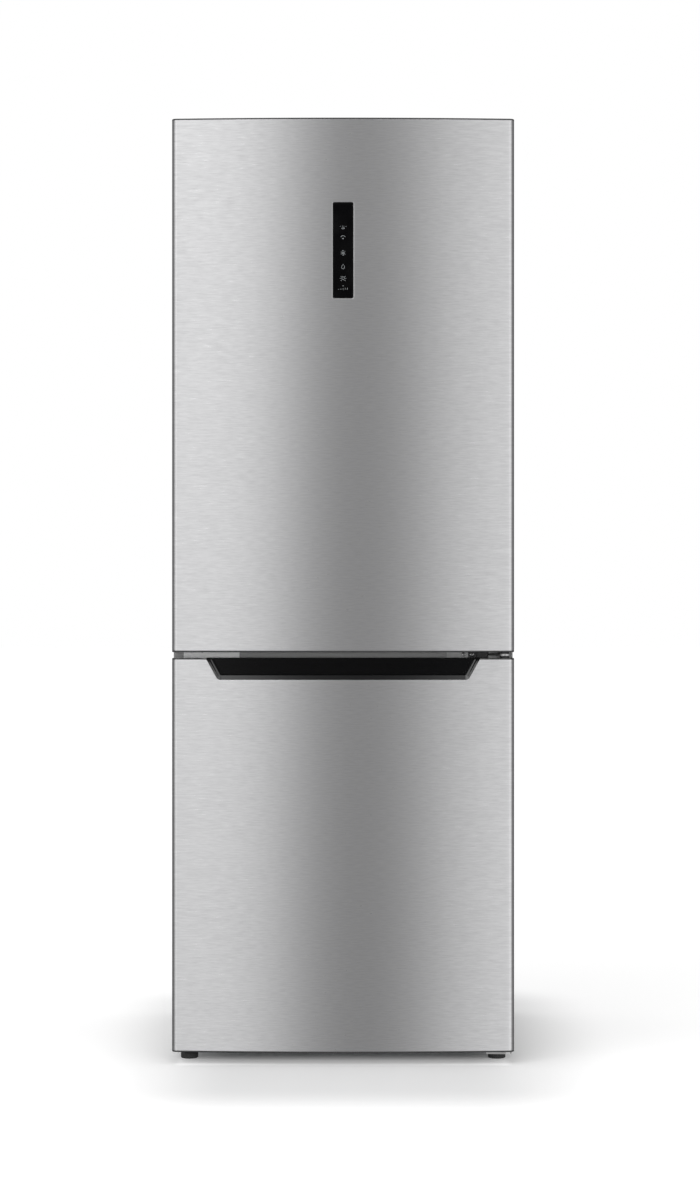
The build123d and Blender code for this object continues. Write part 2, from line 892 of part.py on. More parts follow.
# Fridge cavity: moulded liner with a pair of rails for each shelf
with BuildPart() as fridge_liner:
    block(
        -fridge_mouth,
        fridge_mouth,
        y_front,
        fridge_back + cabinet_liner,
        fridge_floor - cabinet_liner,
        fridge_ceiling + cabinet_liner,
    )
    block(-fridge_half, fridge_half, y_front, fridge_back, fridge_floor, fridge_ceiling, Mode.SUBTRACT)
    long_edges = fridge_liner.edges().filter_by(Axis.Y)
    inner_edges = long_edges.filter_by(lambda edge: abs(edge.center().X) < fridge_half + cabinet_liner / 2)
    fillet(inner_edges, liner_corner)
    for rail_top in [crisper_cover_z] + shelf_heights:
        for side in (-1, 1):
            block(
                *sorted((side * (fridge_half - rail_width), side * fridge_half)),
                shelf_front + trim_depth,
                shelf_back - trim_depth,
                rail_top - rail_height,
                rail_top,
            )
fridge_liner.part.label = "fridge_liner"
export_step(fridge_liner.part, "parts/fridge_liner.step")

# Freezer cavity: liner stepped over the machine compartment, with rails for its two shelves
with BuildPart() as freezer_liner:
    block(
        -freezer_mouth,
        freezer_mouth,
        y_front,
        freezer_back + cabinet_liner,
        hump_top - cabinet_liner,
        freezer_ceiling + cabinet_liner,
    )
    block(
        -freezer_mouth,
        freezer_mouth,
        y_front,
        hump_front + cabinet_liner,
        freezer_floor - cabinet_liner,
        hump_top,
    )
    block(-freezer_half, freezer_half, y_front, freezer_back, hump_top, freezer_ceiling, Mode.SUBTRACT)
    block(-freezer_half, freezer_half, y_front, hump_front, freezer_floor, hump_top, Mode.SUBTRACT)
    rail_ends = [hump_front, freezer_shelf_back]
    for rail_top, rail_end in zip(freezer_shelf_heights, rail_ends):
        for side in (-1, 1):
            block(
                *sorted((side * (freezer_half - rail_width), side * freezer_half)),
                freezer_shelf_front,
                rail_end,
                rail_top - rail_height,
                rail_top,
            )
freezer_liner.part.label = "freezer_liner"
export_step(freezer_liner.part, "parts/freezer_liner.step")

# Glass shelves on the rails, and the sheet over the crispers
for shelf_name, shelf_z in zip(["crisper_cover"] + shelf_names, [crisper_cover_z] + shelf_heights):
    with BuildPart() as glass_shelf:
        block(-shelf_half, shelf_half, shelf_front, shelf_back, shelf_z, shelf_z + glass)
    glass_shelf.part.label = shelf_name
    export_step(glass_shelf.part, f"parts/{shelf_name}.step")

# Trims clipped on the front and back edges of the fridge's glass
trim_spans = [
    (shelf_front - trim_wall, shelf_front + trim_depth),
    (shelf_back - trim_depth, shelf_back + trim_wall),
]
with BuildPart() as shelf_trims:
    for shelf_z in [crisper_cover_z] + shelf_heights:
        middle = shelf_z + glass / 2
        for y0, y1 in trim_spans:
            block(-shelf_half, shelf_half, y0, y1, middle - trim_height / 2, middle + trim_height / 2)
        block(-shelf_half, shelf_half, shelf_front, shelf_back, shelf_z, shelf_z + glass, Mode.SUBTRACT)
shelf_trims.part.label = "shelf_trims"
export_step(shelf_trims.part, "parts/shelf_trims.step")

with BuildPart() as freezer_shelves:
    for shelf_z in freezer_shelf_heights:
        block(
            -freezer_shelf_half,
            freezer_shelf_half,
            freezer_shelf_front,
            freezer_shelf_back,
            shelf_z,
            shelf_z + glass,
        )
freezer_shelves.part.label = "freezer_shelves"
export_step(freezer_shelves.part, "parts/freezer_shelves.step")

# Two crispers side by side on the fridge floor
crisper_wall_y = y_front + crisper_setback + handle_depth
crisper_back = fridge_back - crisper_back_gap
crisper_outer = fridge_half - crisper_side_gap
crisper_top = fridge_floor + crisper_height
for side, crisper_name in [(-1, "left_crisper"), (1, "right_crisper")]:
    x0, x1 = sorted((side * crisper_middle_gap / 2, side * crisper_outer))
    with BuildPart() as crisper:
        tub(x0, x1, crisper_wall_y, crisper_back, fridge_floor + glide_gap, crisper_top)
        pull_handle(x0 + tub_corner, x1 - tub_corner, crisper_wall_y, crisper_top)
    crisper.part.label = crisper_name
    export_step(crisper.part, f"parts/{crisper_name}.step")

# Three freezer drawers, the lowest one short because of the step behind it
drawer_wall_y = y_front + drawer_setback + handle_depth
drawer_half = freezer_half - drawer_side_gap
drawer_floors = [freezer_floor] + [shelf_z + glass for shelf_z in freezer_shelf_heights]
drawer_roofs = [shelf_z - rail_height for shelf_z in freezer_shelf_heights] + [freezer_ceiling]
drawer_backs = [hump_front - drawer_back_gap, freezer_shelf_back, freezer_shelf_back]
drawer_names = ["freezer_drawer_bottom", "freezer_drawer_middle", "freezer_drawer_top"]
for drawer_name, low, roof, drawer_back in zip(drawer_names, drawer_floors, drawer_roofs, drawer_backs):
    drawer_top = roof - drawer_headroom
    with BuildPart() as drawer:
        tub(-drawer_half, drawer_half, drawer_wall_y, drawer_back, low + glide_gap, drawer_top)
        pull_handle(-drawer_half + tub_corner, drawer_half - tub_corner, drawer_wall_y, drawer_top)
    drawer.part.label = drawer_name
    export_step(drawer.part, f"parts/{drawer_name}.step")

# Evaporator, its cover and its fan at the back of the freezer
cover_front = freezer_back - evaporator_cover_depth
fan_z = hump_top + fan_rise
cover_half = freezer_half - evaporator_cover_gap
cover_roof = freezer_ceiling - evaporator_cover_gap
with BuildPart() as evaporator_cover:
    block(-cover_half, cover_half, cover_front, freezer_back, hump_top, cover_roof)
    block(
        -cover_half + evaporator_cover_wall,
        cover_half - evaporator_cover_wall,
        cover_front + evaporator_cover_wall,
        freezer_back,
        hump_top,
        cover_roof - evaporator_cover_wall,
        Mode.SUBTRACT,
    )
    with BuildSketch(front_plane(cover_front)) as fan_vents:
        with Locations((0, fan_z)):
            with GridLocations(vent_length + vent_height, vent_pitch, 2, int(2 * fan_radius // vent_pitch)):
                SlotOverall(vent_length, vent_height)
    extrude(amount=-evaporator_cover_wall, mode=Mode.SUBTRACT)
evaporator_cover.part.label = "evaporator_cover"
export_step(evaporator_cover.part, "parts/evaporator_cover.step")

evaporator_bottom = hump_top + evaporator_rise
evaporator_y = freezer_back - evaporator_cover_depth / 2
evaporator_front = evaporator_y - evaporator_depth / 2
evaporator_z = evaporator_bottom + evaporator_height / 2
with BuildPart() as evaporator:
    with Locations((0, evaporator_y, evaporator_z)):
        with GridLocations(evaporator_width / (fin_count - 1), 0, fin_count, 1):
            Box(fin_thickness, evaporator_depth, evaporator_height)
    with BuildSketch(Plane.YZ.offset(-evaporator_width / 2)) as coil_tubes:
        with Locations((evaporator_y, evaporator_z)):
            with GridLocations(evaporator_depth / 2, evaporator_height / coil_rows, 2, coil_rows):
                Circle(coil_tube)
    extrude(amount=evaporator_width)
    for side in (-1, 1):
        block(
            *sorted((side * evaporator_width / 2, side * (evaporator_width / 2 + fin_thickness))),
            evaporator_front,
            freezer_back,
            evaporator_bottom,
            evaporator_bottom + evaporator_height,
        )
evaporator.part.label = "evaporator"
export_step(evaporator.part, "parts/evaporator.step")

fan_front = cover_front + evaporator_cover_wall + fan_cover_gap
fan_plane = Plane(origin=(0, fan_front, fan_z), x_dir=(1, 0, 0), z_dir=(0, 1, 0))
with BuildPart(fan_plane) as evaporator_fan:
    with Locations((0, 0, fan_depth / 2)):
        Cylinder(fan_hub, fan_depth)
        with PolarLocations((fan_hub + fan_radius) / 2 - blade_thickness, fan_blades):
            Box(fan_radius - fan_hub, blade_thickness, fan_depth, rotation=(fan_pitch, 0, 0))
    with Locations((0, 0, fan_depth / 2)):
        Cylinder(fan_shaft + fan_shaft_clearance, fan_depth, mode=Mode.SUBTRACT)
evaporator_fan.part.label = "evaporator_fan"
export_step(evaporator_fan.part, "parts/evaporator_fan.step")

motor_front = fan_front + fan_depth + motor_gap
with BuildPart() as evaporator_fan_motor:
    with BuildSketch(front_plane(motor_front)) as motor_can:
        with Locations((0, fan_z)):
            Circle(motor_radius)
    extrude(amount=-motor_depth)
    with BuildSketch(front_plane(motor_front)) as motor_shaft:
        with Locations((0, fan_z)):
            Circle(fan_shaft)
    extrude(amount=motor_gap + fan_depth)
    block(
        -motor_plate / 2,
        motor_plate / 2,
        motor_front + motor_depth,
        freezer_back,
        fan_z - motor_plate_height / 2,
        fan_z + motor_plate_height / 2,
    )
evaporator_fan_motor.part.label = "evaporator_fan_motor"
export_step(evaporator_fan_motor.part, "parts/evaporator_fan_motor.step")

# Cold-air duct on the fridge's back wall, with vents above each shelf
duct_bottom = fridge_floor + duct_end_gap
duct_top = fridge_ceiling - duct_end_gap
duct_front = fridge_back - duct_depth
with BuildPart() as air_duct_panel:
    block(-duct_width / 2, duct_width / 2, duct_front, fridge_back, duct_bottom, duct_top)
    fillet(air_duct_panel.edges().filter_by(Axis.Z).group_by(Axis.Y)[0], tub_corner)
    block(
        -duct_width / 2 + tub_corner,
        duct_width / 2 - tub_corner,
        duct_front + duct_wall,
        fridge_back,
        duct_bottom + duct_wall,
        duct_top - duct_wall,
        Mode.SUBTRACT,
    )
    with BuildSketch(front_plane(duct_front)) as duct_vents:
        for shelf_z in [crisper_cover_z] + shelf_heights:
            with Locations((0, shelf_z + shelf_pitch / 2)):
                with GridLocations(vent_length + vent_pitch, vent_pitch, 2, 2):
                    SlotOverall(vent_length, vent_height)
    extrude(amount=-duct_wall, mode=Mode.SUBTRACT)
air_duct_panel.part.label = "air_duct_panel"
export_step(air_duct_panel.part, "parts/air_duct_panel.step")

lamp_y = y_front + lamp_setback
with BuildPart() as fridge_lamp:
    block(
        -lamp_width / 2,
        lamp_width / 2,
        lamp_y - lamp_length / 2,
        lamp_y + lamp_length / 2,
        fridge_ceiling - lamp_height,
        fridge_ceiling,
    )
    fillet(fridge_lamp.edges().group_by(Axis.Z)[0], lamp_height / 2)
fridge_lamp.part.label = "fridge_lamp"
export_step(fridge_lamp.part, "parts/fridge_lamp.step")

# Top hinge: a plate on the cabinet's top whose arm reaches over the ledge, with its pin down
top_plate_z = cabinet_top
top_plate_top = top_plate_z + hinge_plate
top_base_x1 = half - top_base_inset
top_base_x0 = top_base_x1 - top_base_width
top_base_y0 = y_front + top_base_setback
top_base_y1 = top_base_y0 + top_base_depth
top_base_middle = (top_base_x0 + top_base_x1) / 2
top_screw_x = [top_base_middle + step * top_screw_pitch for step in (-1, 0, 1)]
top_screw_y = (top_base_y0 + top_base_y1) / 2
with BuildPart() as top_hinge:
    extrude(
        hinge_arm(top_plate_z, top_arm_nose, top_base_x0, top_base_x1, top_base_y0, top_base_y1),
        amount=hinge_plate,
    )
    rod(hinge_x, hinge_y, ledge_top - pin_length, top_plate_z, pin_radius)
    rod(hinge_x, hinge_y, ledge_top + washer_gap, top_plate_z, washer_radius)
    for screw_x in top_screw_x:
        rod(
            screw_x,
            top_screw_y,
            top_plate_z,
            top_plate_top,
            screw_shank + screw_clearance,
            Mode.SUBTRACT,
        )
top_hinge.part.label = "top_hinge"
export_step(top_hinge.part, "parts/top_hinge.step")

with BuildPart() as top_hinge_cover:
    extrude(
        hinge_arm(
            top_plate_z,
            top_arm_nose + cover_margin,
            top_base_x0 - cover_margin,
            top_base_x1 + cover_margin,
            top_base_y0 - cover_margin,
            top_base_y1 + cover_margin,
        ),
        amount=cover_height,
    )
    fillet(top_hinge_cover.edges().group_by(Axis.Z)[-1], cover_margin)
    extrude(
        hinge_arm(
            top_plate_z,
            top_arm_nose + cover_margin - cover_wall,
            top_base_x0 - cover_margin + cover_wall,
            top_base_x1 + cover_margin - cover_wall,
            top_base_y0 - cover_margin + cover_wall,
            top_base_y1 + cover_margin - cover_wall,
        ),
        amount=cover_height - cover_margin,
        mode=Mode.SUBTRACT,
    )
top_hinge_cover.part.label = "top_hinge_cover"
export_step(top_hinge_cover.part, "parts/top_hinge_cover.step")

# Middle hinge: a flange on the mullion and an arm in the gap, with one pin up and one down
flange_x1 = half - flange_inset
flange_x0 = flange_x1 - flange_width
flange_z0 = gap_middle - flange_height / 2
flange_front = y_front - flange_sheet
mid_plate_z = gap_middle - hinge_plate / 2
mid_screw_x = [flange_x0 + mid_screw_inset + step * mid_screw_pitch for step in (0, 1)]
with BuildPart() as mid_hinge:
    block(flange_x0, flange_x1, flange_front, y_front, flange_z0, flange_z0 + flange_height)
    extrude(
        hinge_arm(
            mid_plate_z,
            arm_nose,
            flange_x1 - arm_base,
            flange_x1,
            flange_front - hinge_plate,
            flange_front,
        ),
        amount=hinge_plate,
    )
    rod(hinge_x, hinge_y, lower_top - pin_length, upper_bottom + pin_length, pin_radius)
    rod(hinge_x, hinge_y, lower_top + washer_gap, upper_bottom - washer_gap, washer_radius)
    for screw_x in mid_screw_x:
        with BuildSketch(front_plane(flange_front)) as screw_hole:
            with Locations((screw_x, gap_middle)):
                Circle(screw_shank + screw_clearance)
        extrude(amount=-flange_sheet, mode=Mode.SUBTRACT)
mid_hinge.part.label = "mid_hinge"
export_step(mid_hinge.part, "parts/mid_hinge.step")

# Blank plate over the spare hinge holes on the left of the mullion
blank_pin_x = -flange_x1 + flange_width / 3
blank_pin_z = gap_middle + blank_screw_rise
with BuildPart() as hinge_blank_plate:
    block(-flange_x1, -flange_x0, flange_front, y_front, flange_z0, flange_z0 + flange_height)
    with BuildSketch(front_plane(flange_front)) as blank_hole:
        with Locations((blank_pin_x, blank_pin_z)):
            Circle(screw_shank + screw_clearance)
    extrude(amount=-flange_sheet, mode=Mode.SUBTRACT)
hinge_blank_plate.part.label = "hinge_blank_plate"
export_step(hinge_blank_plate.part, "parts/hinge_blank_plate.step")

# Bottom hinge: a plate under the base frame that the right foot's stem passes, with its pin up
foot_plate_z = lower_bottom - washer_gap - hinge_plate - hinge_gap
foot_plate_x1 = foot_x + foot_plate_width / 2
foot_plate_x0 = foot_x - foot_plate_width / 2
foot_plate_y0 = hinge_y - foot_plate_lead
foot_plate_y1 = y_front + foot_plate_back
bottom_screw_y = foot_plate_y1 - bottom_screw_setback
bottom_screw_x = [foot_plate_x0 + bottom_screw_inset, foot_plate_x1 - bottom_screw_inset]
with BuildPart() as bottom_hinge:
    extrude(
        hinge_arm(foot_plate_z, arm_nose, foot_plate_x0, foot_plate_x1, foot_plate_y0, foot_plate_y1),
        amount=hinge_plate,
    )
    block(
        foot_plate_x0,
        foot_plate_x1,
        foot_y + foot_boss,
        foot_plate_y1,
        foot_plate_z + hinge_plate,
        base_height,
    )
    rod(hinge_x, hinge_y, foot_plate_z + hinge_plate, lower_bottom + pin_length, pin_radius)
    rod(hinge_x, hinge_y, foot_plate_z + hinge_plate, lower_bottom - washer_gap, washer_radius)
    rod(foot_x, foot_y, foot_plate_z, foot_plate_z + hinge_plate, stem_radius, Mode.SUBTRACT)
bottom_hinge.part.label = "bottom_hinge"
export_step(bottom_hinge.part, "parts/bottom_hinge.step")

# Screws of the hinges: a low round head and a shank through the plate
face_screws = [(screw_x, gap_middle) for screw_x in mid_screw_x] + [(blank_pin_x, blank_pin_z)]
with BuildPart() as hinge_screws:
    for screw_x in top_screw_x:
        rod(screw_x, top_screw_y, top_plate_top, top_plate_top + screw_height, screw_head)
        rod(screw_x, top_screw_y, top_plate_z, top_plate_top, screw_shank)
    for screw_x, screw_z in face_screws:
        with BuildSketch(front_plane(flange_front)) as head:
            with Locations((screw_x, screw_z)):
                Circle(screw_head)
        extrude(amount=screw_height)
        with BuildSketch(front_plane(flange_front)) as shank:
            with Locations((screw_x, screw_z)):
                Circle(screw_shank)
        extrude(amount=-flange_sheet)
    for screw_x in bottom_screw_x:
        rod(screw_x, bottom_screw_y, foot_plate_z - screw_height, foot_plate_z, screw_head)
hinge_screws.part.label = "hinge_screws"
export_step(hinge_screws.part, "parts/hinge_screws.step")

# Base frame: a steel pan with bosses for the front feet and cheeks for the rear rollers
roller_y = y_back - roller_setback
roller_x = half - roller_inset
axle_half = roller_width / 2 + cheek_gap + cheek
with BuildPart() as base_frame:
    block(-half + sheet, half - sheet, y_front, y_back - sheet, base_height, cabinet_bottom)
    rod(-foot_x, foot_y, foot_height + foot_boss_gap, base_height, foot_boss)
    rod(foot_x, foot_y, foot_plate_z + hinge_plate, base_height, foot_boss)
    for side in (-1, 1):
        rod(side * foot_x, foot_y, foot_height, cabinet_bottom, stem_radius, Mode.SUBTRACT)
        for face in (-1, 1):
            cheek_x = side * roller_x + face * (roller_width / 2 + cheek_gap)
            block(
                *sorted((cheek_x, cheek_x + face * cheek)),
                roller_y - cheek_width / 2,
                roller_y + cheek_width / 2,
                roller_radius - axle_radius - cheek,
                base_height,
            )
        with BuildSketch(Plane.YZ.offset(side * roller_x - axle_half)) as axle_bore:
            with Locations((roller_y, roller_radius)):
                Circle(axle_radius + axle_clearance)
        extrude(amount=2 * axle_half, mode=Mode.SUBTRACT)
base_frame.part.label = "base_frame"
export_step(base_frame.part, "parts/base_frame.step")

# Rear rollers, each moulded in one with the stub axle that turns in its cheeks
for side, roller_name in [(-1, "left_roller"), (1, "right_roller")]:
    with BuildPart() as roller:
        with BuildSketch(Plane.YZ.offset(side * roller_x - roller_width / 2)) as roller_side:
            with Locations((roller_y, roller_radius)):
                Circle(roller_radius)
        extrude(amount=roller_width)
        fillet(roller.edges().filter_by(GeomType.CIRCLE), roller_rounding)
        with BuildSketch(Plane.YZ.offset(side * roller_x - axle_half)) as axle_end:
            with Locations((roller_y, roller_radius)):
                Circle(axle_radius)
        extrude(amount=2 * axle_half)
    roller.part.label = roller_name
    export_step(roller.part, f"parts/{roller_name}.step")

# Front feet, a pad and a stem that screws up and down in the base frame
for side, foot_name in [(-1, "left_foot"), (1, "right_foot")]:
    with BuildPart() as foot:
        rod(side * foot_x, foot_y, 0, foot_height, foot_radius)
        chamfer(foot.edges().filter_by(GeomType.CIRCLE), foot_chamfer)
        rod(side * foot_x, foot_y, foot_height, foot_stem_top, foot_stem)
    foot.part.label = foot_name
    export_step(foot.part, f"parts/{foot_name}.step")

# Compressor on its plate and four rubber mounts
compressor_x = compressor_side_gap - machine_half
compressor_y = y_back - machine_depth / 2
plate_z = cabinet_bottom + mount_height
can_bottom = plate_z + compressor_plate
can_top = can_bottom + compressor_height
mount_x = compressor_radius + compressor_plate_margin - mount_radius
mount_y = compressor_radius - mount_radius
stub_end = compressor_x + compressor_radius + stub_length
condenser_y = y_back - condenser_back_gap
condenser_z = cabinet_bottom + condenser_rise
suction_z = (can_bottom + can_top) / 2
with BuildPart() as compressor:
    rod(compressor_x, compressor_y, can_bottom, can_top, compressor_radius)
    fillet(compressor.edges().filter_by(GeomType.CIRCLE), compressor_rounding)
    block(
        compressor_x - compressor_radius - compressor_plate_margin,
        compressor_x + compressor_radius + compressor_plate_margin,
        compressor_y - compressor_radius,
        compressor_y + compressor_radius,
        plate_z,
        can_bottom,
    )
    rod(compressor_x, compressor_y, can_bottom, can_top, compressor_radius - compressor_rounding)
    for stub_z in (condenser_z, suction_z):
        with BuildSketch(Plane.YZ.offset(compressor_x)) as stub:
            with Locations((compressor_y, stub_z)):
                Circle(pipe_radius)
        extrude(amount=stub_end - compressor_x)
compressor.part.label = "compressor"
export_step(compressor.part, "parts/compressor.step")

with BuildPart() as compressor_mounts:
    with Locations((compressor_x, compressor_y, cabinet_bottom + mount_height / 2)):
        with GridLocations(2 * mount_x, 2 * mount_y, 2, 2):
            Cylinder(mount_radius, mount_height)
compressor_mounts.part.label = "compressor_mounts"
export_step(compressor_mounts.part, "parts/compressor_mounts.step")

# Tray over the compressor that melt water dries from
with BuildPart() as drip_tray:
    block(
        compressor_x - drip_tray_width / 2,
        compressor_x + drip_tray_width / 2,
        compressor_y - drip_tray_depth / 2,
        compressor_y + drip_tray_depth / 2,
        can_top,
        can_top + tray_height,
    )
    block(
        compressor_x - drip_tray_width / 2 + drip_tray_wall,
        compressor_x + drip_tray_width / 2 - drip_tray_wall,
        compressor_y - drip_tray_depth / 2 + drip_tray_wall,
        compressor_y + drip_tray_depth / 2 - drip_tray_wall,
        can_top + drip_tray_wall,
        can_top + tray_height,
        Mode.SUBTRACT,
    )
drip_tray.part.label = "drip_tray"
export_step(drip_tray.part, "parts/drip_tray.step")

# Condenser: one tube that runs to and fro, on two straps that stand on the base
condenser_left = stub_end + condenser_gap
condenser_right = machine_half - condenser_side_gap
condenser_path = []
for run in range(condenser_runs):
    run_z = condenser_z + run * condenser_pitch
    ends = [(condenser_left, condenser_y, run_z), (condenser_right, condenser_y, run_z)]
    condenser_path += ends if run % 2 == 0 else ends[::-1]
condenser_end_z = condenser_z + (condenser_runs - 1) * condenser_pitch
with BuildPart() as condenser_coil:
    with BuildLine() as coil_line:
        FilletPolyline(*condenser_path, radius=condenser_pitch / 2 - bend_ease)
    with BuildSketch(Plane.YZ.offset(condenser_left)) as coil_section:
        with Locations((condenser_y, condenser_z)):
            Circle(pipe_radius)
    sweep()
    for strap_x in (condenser_left + condenser_strap_inset, condenser_right - condenser_strap_inset):
        block(
            strap_x - condenser_strap / 2,
            strap_x + condenser_strap / 2,
            condenser_y,
            condenser_y + pipe_radius + sheet,
            cabinet_bottom,
            condenser_end_z + condenser_pitch / 2,
        )
condenser_coil.part.label = "condenser_coil"
export_step(condenser_coil.part, "parts/condenser_coil.step")

# Pipes: compressor to condenser, condenser through the drier to the foam, and foam to compressor
pipe_x = (stub_end + condenser_left) / 2
discharge = [
    (stub_end, compressor_y, condenser_z),
    (pipe_x, compressor_y, condenser_z),
    (pipe_x, condenser_y, condenser_z),
    (condenser_left, condenser_y, condenser_z),
]
liquid = [
    (condenser_left, condenser_y, condenser_end_z),
    (pipe_x, condenser_y, condenser_end_z),
    (pipe_x, condenser_y, machine_top),
]
suction = [
    (stub_end, compressor_y, suction_z),
    (pipe_x, compressor_y, suction_z),
    (pipe_x, machine_front, suction_z),
]
with BuildPart() as refrigerant_pipes:
    for route in (discharge, liquid, suction):
        start_plane = Plane(origin=route[0], z_dir=Vector(*route[1]) - Vector(*route[0]))
        with BuildLine() as route_line:
            FilletPolyline(*route, radius=pipe_bend)
        with BuildSketch(start_plane) as pipe_section:
            Circle(pipe_radius)
        sweep()
    rod(pipe_x, condenser_y, machine_top - drier_length, machine_top, drier_radius)
refrigerant_pipes.part.label = "refrigerant_pipes"
export_step(refrigerant_pipes.part, "parts/refrigerant_pipes.step")

# Louvred cover over the machine compartment, with the gland that the mains lead leaves by
gland_x = machine_half - gland_inset
gland_z = cabinet_bottom + gland_rise
with BuildPart() as rear_cover:
    block(-half, half, y_back - sheet, y_back, cabinet_bottom, machine_top)
    with BuildSketch(front_plane(y_back)) as louvres:
        with Locations((0, cabinet_bottom + machine_height / 2 + louvre_pitch)):
            with GridLocations(louvre_length + louvre_pitch, louvre_pitch, louvre_columns, louvre_rows):
                SlotOverall(louvre_length, louvre_height)
    extrude(amount=sheet, mode=Mode.SUBTRACT)
    with BuildSketch(front_plane(y_back)) as gland_hole:
        with Locations((gland_x, gland_z)):
            Circle(gland_radius)
    extrude(amount=sheet, mode=Mode.SUBTRACT)
rear_cover.part.label = "rear_cover"
export_step(rear_cover.part, "parts/rear_cover.step")

with BuildPart() as cord_gland:
    with BuildSketch(front_plane(y_back)) as gland_body:
        with Locations((gland_x, gland_z)):
            Circle(gland_radius)
    extrude(amount=gland_depth)
    with BuildSketch(front_plane(y_back - sheet)) as gland_rim:
        with Locations((gland_x, gland_z)):
            Circle(gland_radius + gland_flange)
    extrude(amount=gland_flange)
    with BuildSketch(front_plane(y_back)) as gland_way:
        with Locations((gland_x, gland_z)):
            Circle(gland_bore)
    extrude(amount=gland_depth, mode=Mode.SUBTRACT)
cord_gland.part.label = "cord_gland"
export_step(cord_gland.part, "parts/cord_gland.step")
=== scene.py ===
"""Refrigerator with a freezer below: finishes, detail pieces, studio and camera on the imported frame."""

import logging
import math
from dataclasses import dataclass, field
from enum import Enum
from functools import cache

import bmesh
import bpy
import numpy as np
from bpy.types import ColorRamp, Material, Mesh, Node, NodeSocket, NodeTree, Object, World
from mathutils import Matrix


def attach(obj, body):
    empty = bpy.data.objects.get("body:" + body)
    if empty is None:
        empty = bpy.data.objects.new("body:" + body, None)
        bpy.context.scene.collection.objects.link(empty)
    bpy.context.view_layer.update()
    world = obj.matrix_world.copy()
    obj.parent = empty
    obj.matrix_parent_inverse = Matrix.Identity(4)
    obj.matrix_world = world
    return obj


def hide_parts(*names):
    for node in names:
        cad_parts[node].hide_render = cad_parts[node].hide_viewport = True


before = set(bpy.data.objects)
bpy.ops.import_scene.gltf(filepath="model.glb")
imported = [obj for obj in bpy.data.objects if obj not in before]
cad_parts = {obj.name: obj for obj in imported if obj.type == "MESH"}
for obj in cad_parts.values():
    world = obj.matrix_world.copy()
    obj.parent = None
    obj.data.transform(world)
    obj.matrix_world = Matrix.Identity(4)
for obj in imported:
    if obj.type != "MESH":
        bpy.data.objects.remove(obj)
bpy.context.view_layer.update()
LOG = logging.getLogger("refrigerator")
Array = np.ndarray
Pair = tuple[float, float]
Triple = tuple[float, float, float]
MM = 0.001
WHITE = (1.0, 1.0, 1.0, 1.0)
COAT_ROUGHNESS = 0.08
# Points nearer than the first length are one point, and edges shorter than the second are taken out.
WELD = 2e-6
SLIVER = 1e-6


def linear(hex_colour: str) -> tuple[float, float, float, float]:
    """Turn an sRGB hex colour into linear light.

    Args:
        hex_colour: Colour such as "#c8c9ca".

    Returns:
        Red, green, blue in linear light, and full alpha.
    """
    channel = np.array([int(hex_colour[at : at + 2], 16) for at in (1, 3, 5)]) / 255
    value = np.where(channel <= 0.04045, channel / 12.92, ((channel + 0.055) / 1.055) ** 2.4)
    return (*value.tolist(), 1.0)


def bare_tree(owner: Material | World) -> NodeTree:
    """Give a new material or world an empty node tree.

    Args:
        owner: The material or world.

    Returns:
        Its node tree.
    """
    owner.use_nodes = True
    owner.node_tree.nodes.clear()
    return owner.node_tree


def add_node(
    tree: NodeTree, kind: str, inputs: dict | None = None, out: int | str = 0, **settings
) -> NodeSocket | None:
    """Add a shader node, set its options, and set or link its inputs.

    Args:
        tree: Node tree that gets the node.
        kind: Blender's name for the node type, without its first word ShaderNode.
        inputs: Socket name or number to a value, or to the output socket it is linked from.
        out: Name or number of the output that is wanted.
        settings: Options of the node.

    Returns:
        That output, or None where the node has none.
    """
    node = tree.nodes.new("ShaderNode" + kind)
    for option, value in settings.items():
        setattr(node, option, value)
    for socket, value in (inputs or {}).items():
        if isinstance(value, NodeSocket):
            tree.links.new(value, node.inputs[socket])
        else:
            node.inputs[socket].default_value = value
    return node.outputs[out] if node.outputs else None


class Pattern(Enum):
    """Kinds of fine pattern that a surface shows."""

    CLOUD = "soft cloudy unevenness or moulded grain"
    CELL = "crystal or foam cells"
    TRACK = "straight rows of conductor tracks"


